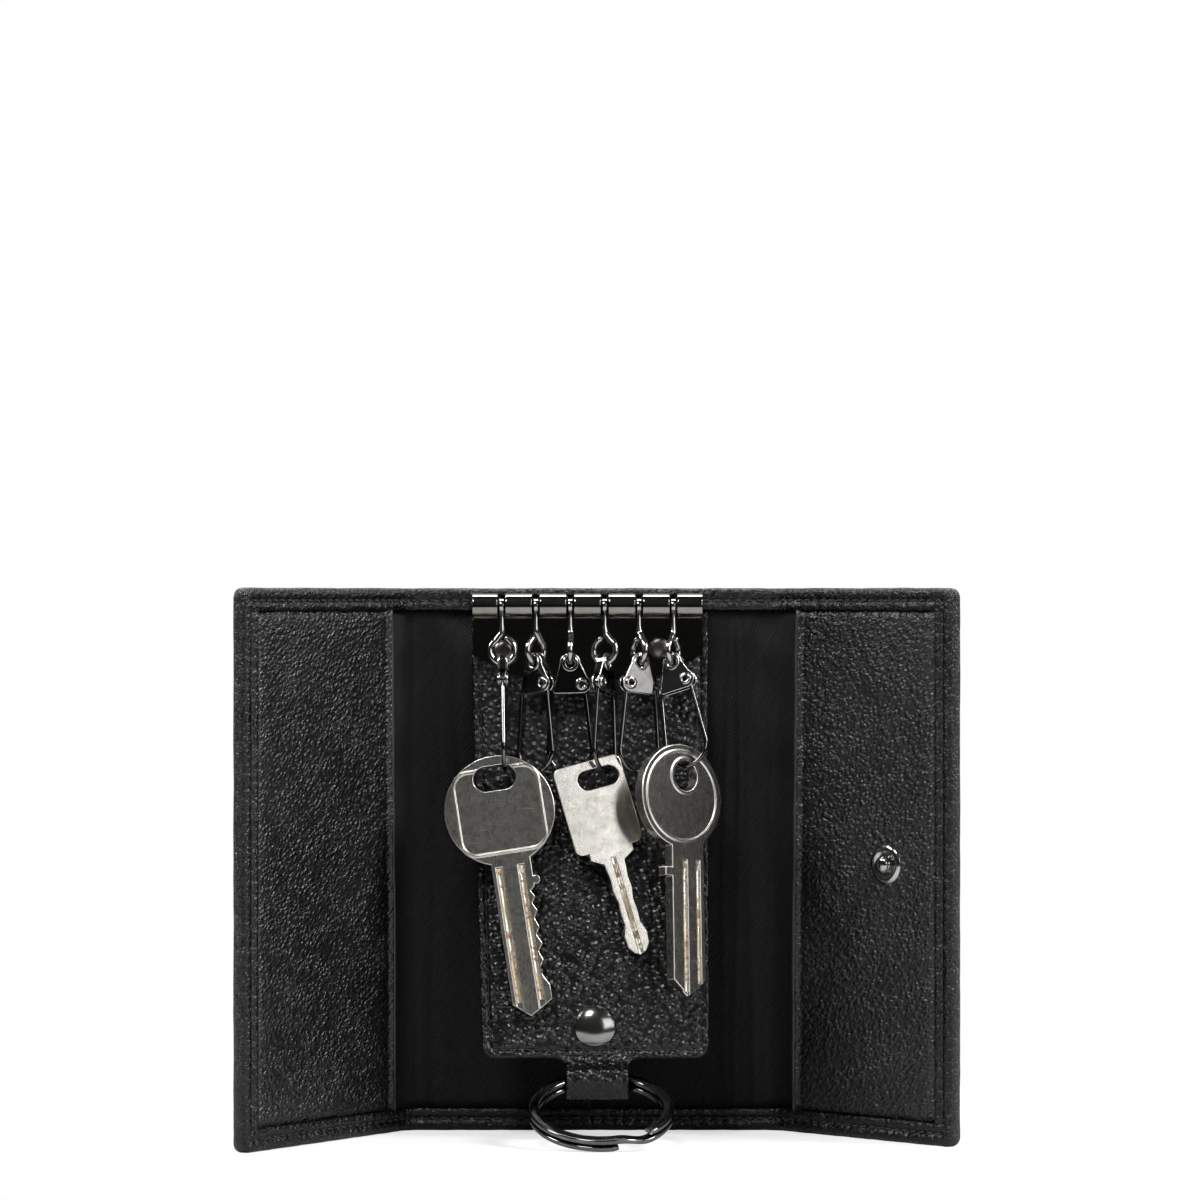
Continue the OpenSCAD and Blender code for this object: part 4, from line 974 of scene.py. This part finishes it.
def tube(points, radii, m=14):
    """A round wire along a line of points, with closed ends."""
    p = np.array(points, float)
    tan = np.gradient(p, axis=0)
    tan /= np.linalg.norm(tan, axis=1)[:, None]
    side = np.cross(tan[0], (0.0, 1.0, 0.0))
    if np.linalg.norm(side) < 1e-3:
        side = np.array([1.0, 0, 0])
    verts = []
    for k in range(len(p)):
        side = side - tan[k] * np.dot(side, tan[k])
        side /= np.linalg.norm(side)
        up = np.cross(tan[k], side)
        for j in range(m):
            a = 2 * math.pi * j / m
            verts.append(p[k] + radii[k] * (side * math.cos(a) + up * math.sin(a)))
    return np.array(verts), skin(len(p), m)


def ball(z, r, m=20, n=12):
    """A pin's round head."""
    a, b, _ = grid(math.pi * np.arange(1, n) / n, 2 * math.pi * np.arange(m) / m)
    around = np.stack([r * np.sin(a) * np.cos(b), r * np.sin(a) * np.sin(b), z + r * np.cos(a)], 1)
    return np.concatenate([[(0, 0, z + r)], around, [(0, 0, z - r)]]), fans(n - 1, m)


def eye_pin(i):
    """A wire pin: headed in the tube, bent aside at the neck and round into an open eye."""
    flip = -1 if i in (1, 3, 4) else 1
    pts = [(0, EYE_DROP), (0, 7.6), (0, 6.0), (0.0, 4.9), (-0.04, 4.2), (-0.24, 3.5), (-0.78, 2.88)]
    pts += [(EYE_R * math.cos(a), EYE_R * math.sin(a)) for a in map(math.radians, range(122, 410, 9))]
    pts += [(1.38, 2.16), (0.98, 2.52), (0.62, 2.86)]
    path = catmull(pts, 3)
    r = np.interp(np.arange(len(path)), (0, 7, 11), (0.5, 0.5, 0.63))
    r[-3:] = 0.59, 0.5, 0.32
    v, f = tube(np.stack([path[:, 0] * flip, np.zeros(len(path)), path[:, 1]], 1), r)
    bv, bf = ball(EYE_DROP, 1.5)
    eye = pin_frame(i) @ Matrix.Translation((0, 0, -EYE_DROP)) @ turn(0, 0, HOOK_TURN[i] + 90)
    v = set_at(eye, np.concatenate([v, bv]))
    o = make(f"eye_pin_wire_{i + 1}", v, f + moved(bf, len(v) - len(bv)), M_GUN, sharp=60)
    place(o, f"pin_{i + 1}", "plated_metal", f"eye_pin_{i + 1}")


def bar_sleeves():
    """The rolled tube's seven lengths between the slots, with broken edges."""
    half_len, half_slot, m = 23.2, 0.825, 96
    turns = [2 * math.pi * j / m for j in range(m)]
    slots = [BAR_X + (i - 2.5) * PITCH for i in range(6)]
    starts = [BAR_X - half_len] + [x + half_slot for x in slots]
    ends = [x - half_slot for x in slots] + [BAR_X + half_len]
    verts, faces = [], []
    for a, b in zip(starts, ends):
        prof = [(a, 2.0), (a, 2.36), (a + 0.03, 2.43), (a + 0.1, 2.468), (a + 0.22, 2.47)]
        prof += [(a + b - x, r) for x, r in prof[::-1]]
        faces += moved(hoop(len(prof), m), len(verts))
        for x, r in prof:
            verts += [(x, TUBE_Y + r * math.cos(t), TUBE_Z + r * math.sin(t)) for t in turns]
    place(make("bar_sleeves", verts, faces, M_BAR, sharp=50), "case", "dark_metal")


bar_sleeves()
prof = [(0, 0.85), (0.6, 0.83), (1.1, 0.76), (1.55, 0.62), (1.9, 0.42), (2.1, 0.22), (2.16, 0.05)]
prof += [(2.1, -0.05), (1.0, -0.1), (0.62, -0.12), (0.62, -1.6), (0, -1.6)]
for name, x, z, nodes in (("bar_rivet_1", -16.9, 9.1, ("bar_rivets",)), ("bar_rivet_2", 14.5, 8.5, ())):
    o = lathe(name, prof, (BAR_X + x, -2.3, TUBE_Z - z), (0, -1, 0), M_DULL, seg=48)
    place(o, "case", "dark_metal", *nodes)


def rolled_rivet(i):
    """A tube through the plate's two leaves, rolled over at both ends."""
    h = hook_frame(i)
    half = [(0.55, 0.3), (0.56, 1.0), (0.62, 1.14), (0.78, 1.22), (1.0, 1.2), (1.2, 1.08), (1.34, 0.92)]
    half += [(1.33, 0.82), (1.1, 0.78)]
    prof = [(r, -z) for r, z in half[::-1]] + half
    verts = rings(prof, h @ Vector((RIVET[0], 0, RIVET[1])), h.to_3x3() @ Vector((0, -1, 0)), 40)
    o = make(f"rolled_rivet_{i + 1}", verts, hoop(len(prof), 40), M_GUN, sharp=60)
    place(o, f"hook_{i + 1}", "plated_metal", f"hook_rivet_{i + 1}")


def touch(p, r, side):
    """Direction, in degrees, of the point where a line from p touches a circle of radius r."""
    return math.degrees(math.atan2(p[1], p[0]) - side * math.acos(r / math.hypot(*p)))


def wire_loop(i):
    """The gate: an eye round the rivet, two legs, a round lower end, and a tip between the leaves."""
    wr = 0.45
    start, tip = np.array((RIVET[0] + wr, RIVET[1])), np.array(GATE_TIP)
    right = touch((start[0], start[1] + LOOP_MID), LOOP_R, 1)
    left = touch((tip[0], tip[1] + LOOP_MID), LOOP_R, -1)
    a = np.radians(np.linspace(right, left - 360, 34))
    bow = np.stack([LOOP_R * np.cos(a), LOOP_R * np.sin(a) - LOOP_MID], 1)
    path = catmull([start, 0.9 * start + 0.1 * bow[0], *bow, 0.1 * bow[-1] + 0.9 * tip, tip], 3)
    r = np.full(len(path), wr)
    r[-2:] = 0.38, 0.24
    v, f = tube(np.stack([path[:, 0], np.zeros(len(path)), path[:, 1]], 1), r, 16)
    eye_r = 1.14
    a = np.linspace(0, -5.9, 40)
    eye = np.stack([RIVET[0] + eye_r * np.cos(a), 0 * a, RIVET[1] + eye_r * np.sin(a)], 1)
    v2, f2 = tube(eye, [0.38] * len(a))
    world_v = set_at(hook_frame(i), np.concatenate([v, v2]))
    o = make(f"wire_loop_{i + 1}", world_v, f + moved(f2, len(v)), M_WIRE, sharp=60)
    place(o, f"gate_{i + 1}", "plated_metal", f"hook_wire_{i + 1}")


for i in range(6):
    eye_pin(i)
    rolled_rivet(i)
    wire_loop(i)
for i in range(1, 7):
    # the plates' broken edges take the brighter edge material, a painted highlight
    bevelled(f"hook_plate_{i}", f"hook_{i}", M_PLATE, 0.2, 3, edge=M_RIM_HIGHLIGHT)
# the keys' broken edges take the brighter edge material, a painted highlight
bevelled("key_1", "key_1", M_KEY, 0.17, edge=M_KEY_RIM_HIGHLIGHT, merge=False)
bevelled("key_2", "key_2", M_KEY2, 0.17, edge=M_KEY_RIM_HIGHLIGHT)
bevelled("key_3", "key_3", M_KEY3, 0.17, edge=M_KEY_RIM_HIGHLIGHT)


def key_frame(k):
    """A key's own frame: it hangs from the lowest point of its wire."""
    i, turned, lean, tilt = KEYS[k]
    sl, cl = math.sin(math.radians(HOOK_LEAN[i])), math.cos(math.radians(HOOK_LEAN[i]))
    ti = math.radians(HOOK_TILT[i])
    x, z = sl * math.sin(math.radians(HOOK_TURN[i])), -cl
    d = Vector((x * math.cos(ti) + z * math.sin(ti), z * math.cos(ti) - x * math.sin(ti))).normalized()
    upright = turn(0, HOOK_TILT[i], 0) @ turn(0, 0, -HOOK_TURN[i])
    upright = upright @ turn(HOOK_LEAN[i], 0, 0) @ turn(0, PIN_ROLL[i], 0)
    return (hook_frame(i) @ Matrix.Translation((LOOP_R * d[0], 0, LOOP_R * d[1] - LOOP_MID))
            @ upright @ turn(-lean, 0, 0) @ turn(0, 0, turned) @ turn(0, -tilt, 0))


def groove_strip(k, number, x, width, depth, half_t, top, end):
    """The worn bottom of a groove on both sides of a key: thin closed strips just above the cut."""
    nx, nz, thick = 9, 25, 0.02
    q, z, shape = grid(np.linspace(-1, 1, nx), np.linspace(end, top, nz))
    run_in = np.clip((top - z) / (top - end) * (nz - 1) / 2, 0, 1)
    sunk = 0.04 + (depth - 0.06) * (1 - q * q) * run_in
    across = x + q * width / 2
    verts, flat, faces = [], [], []
    for side in (-1, 1):
        outer, inner = side * (half_t - sunk), side * (half_t - sunk - thick)
        v, f = slab(shape, (across, np.minimum(outer, inner), z), (across, np.maximum(outer, inner), z))
        faces += moved(f, len(verts) * len(v))
        verts.append(set_at(key_frame(k), v))
        flat.append(v * (1, 0, 1) + (0, side * 3.0, 0))
    name, verts, flat = f"key_{k + 1}_groove_{number}", np.concatenate(verts), np.concatenate(flat)
    o = make(name, verts, faces, M_GROOVE, flat=flat)
    shade(o.data)
    place(o, f"key_{k + 1}", "worn_key")


# key, number, place across, width, depth, half the key's thickness, upper and lower end
for groove in (
    (0, 1, -4.1, 1.26, 0.5, 1.1, -19.7, -46.8),
    (0, 2, 0.3, 1.26, 0.5, 1.1, -19.7, -46.8),
    (1, 1, -3.9, 0.86, 0.5, 1.0, -18.5, -36.2),
    (2, 1, -0.9, 1.16, 0.5, 1.1, -19.2, -45.4),
    (2, 2, 2.5, 0.96, 0.4, 1.1, -19.2, -43.6),
):
    groove_strip(*groove)

# the CAD nodes that stay, inside the case
for nodes, material in (
    (("back_board", "left_board", "right_board"), M_BOARD),
    (("snap_washer", "tongue_washer"), M_GUN),
):
    for node in nodes:
        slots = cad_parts[node].data.materials
        slots.clear()
        slots.append(material)

# ---- floor, world and lamps
me = bpy.data.meshes.new("floor")
me.from_pydata([(-8, -4, 0), (8, -4, 0), (8, 12, 0), (-8, 12, 0)], [], [(0, 1, 2, 3)])
floor = bpy.data.objects.new("floor", me)
scene.collection.objects.link(floor)
k = Mat("pale_floor")
emit = k.new("ShaderNodeEmission")
emit.inputs["Color"].default_value = (1, 1, 1, 1)
away = k.new("ShaderNodeVectorMath", operation="LENGTH")
k.link(k.new("ShaderNodeNewGeometry").outputs["Position"], away.inputs[0])
away = away.outputs["Value"]
to_camera = k.new("ShaderNodeLightPath").outputs["Is Camera Ray"]
# the table ends a little in front of the case; to reflections the floor is grey on the table and painted dark
# beyond it, a painted shade for the unlit studio
table = k.mix(k.ramp(away, (0.38, 0.55, 0.0, 1.0)), (0.55, 0.55, 0.55), (0.03, 0.03, 0.03))
k.surface(k.mix(to_camera, table, (0.95, 0.95, 0.95)), 0.7, spec=0.2)
# to the camera it turns to plain white away from the case
both = k.new("ShaderNodeMixShader")
white = k.math("MULTIPLY", k.ramp(away, (0.03, 0.15, 0.6, 1.0)), to_camera)
k.put(*zip(both.inputs, (white, k.p.outputs[0], emit.outputs[0])))
k.link(both.outputs[0], k.out.inputs[0])
me.materials.append(k.m)

world = bpy.data.worlds.new("world")
scene.world = world
world.use_nodes = True
w = Nodes(world.node_tree)
bg = w.new("ShaderNodeBackground")
w.link(bg.outputs[0], w.new("ShaderNodeOutputWorld").inputs[0])
way = w.new("ShaderNodeSeparateXYZ")
w.link(w.new("ShaderNodeTexCoord").outputs["Generated"], way.inputs[0])
ray = w.new("ShaderNodeLightPath").outputs
dim = w.ramp(way.outputs["Z"], (0.06, 0.35, 0.02, 0.06))
# the white backdrop stands behind the case, and polished metal shows it
behind = w.ramp(way.outputs["Y"], (-0.1, 0.35, 0.0, 1.0))
below = w.ramp(way.outputs["Z"], (0.75, 0.45, 0.0, 1.0))
backdrop = w.math("MULTIPLY", w.math("MULTIPLY", behind, below), ray["Is Glossy Ray"])
w.link(w.fade(ray["Is Camera Ray"], w.fade(backdrop, dim, 1.0), 1.0), bg.inputs["Strength"])
bg.inputs["Color"].default_value = (1, 1, 1, 1)


def lamp(name, loc, aim, size, power, size_y=None):
    d = bpy.data.lights.new(name, "AREA")
    d.shape = "RECTANGLE"
    d.size = size
    d.size_y = size_y or size
    d.energy = power
    o = bpy.data.objects.new(name, d)
    o.location = loc
    o.rotation_euler = (Vector(aim) - Vector(loc)).to_track_quat("-Z", "Y").to_euler()
    scene.collection.objects.link(o)


def lamp_at(name, az, el, dist, size, power, size_y=None):
    """A lamp that points at the middle of the case, from a bearing and a height in degrees."""
    a, e, middle = math.radians(az), math.radians(el), PANEL_H / 2 * MM
    loc = (dist * math.sin(a) * math.cos(e), -dist * math.cos(a) * math.cos(e), middle + dist * math.sin(e))
    lamp(name, loc, (0, 0, middle), size, power, size_y)


lamp("top_light", (0, 0.4, 1.0), (0, 0, 0), 0.8, 12, 0.4)
lamp_at("right_light", 72, 38, 1.2, 0.34, 14)
lamp_at("left_light", -75, 40, 1.2, 0.34, 11)
lamp_at("front_light", -24, 52, 1.3, 0.3, 8)
lamp_at("soft_right", 43, 22, 1.4, 1.0, 6.0, 0.6)

scene.view_settings.view_transform = "Standard"
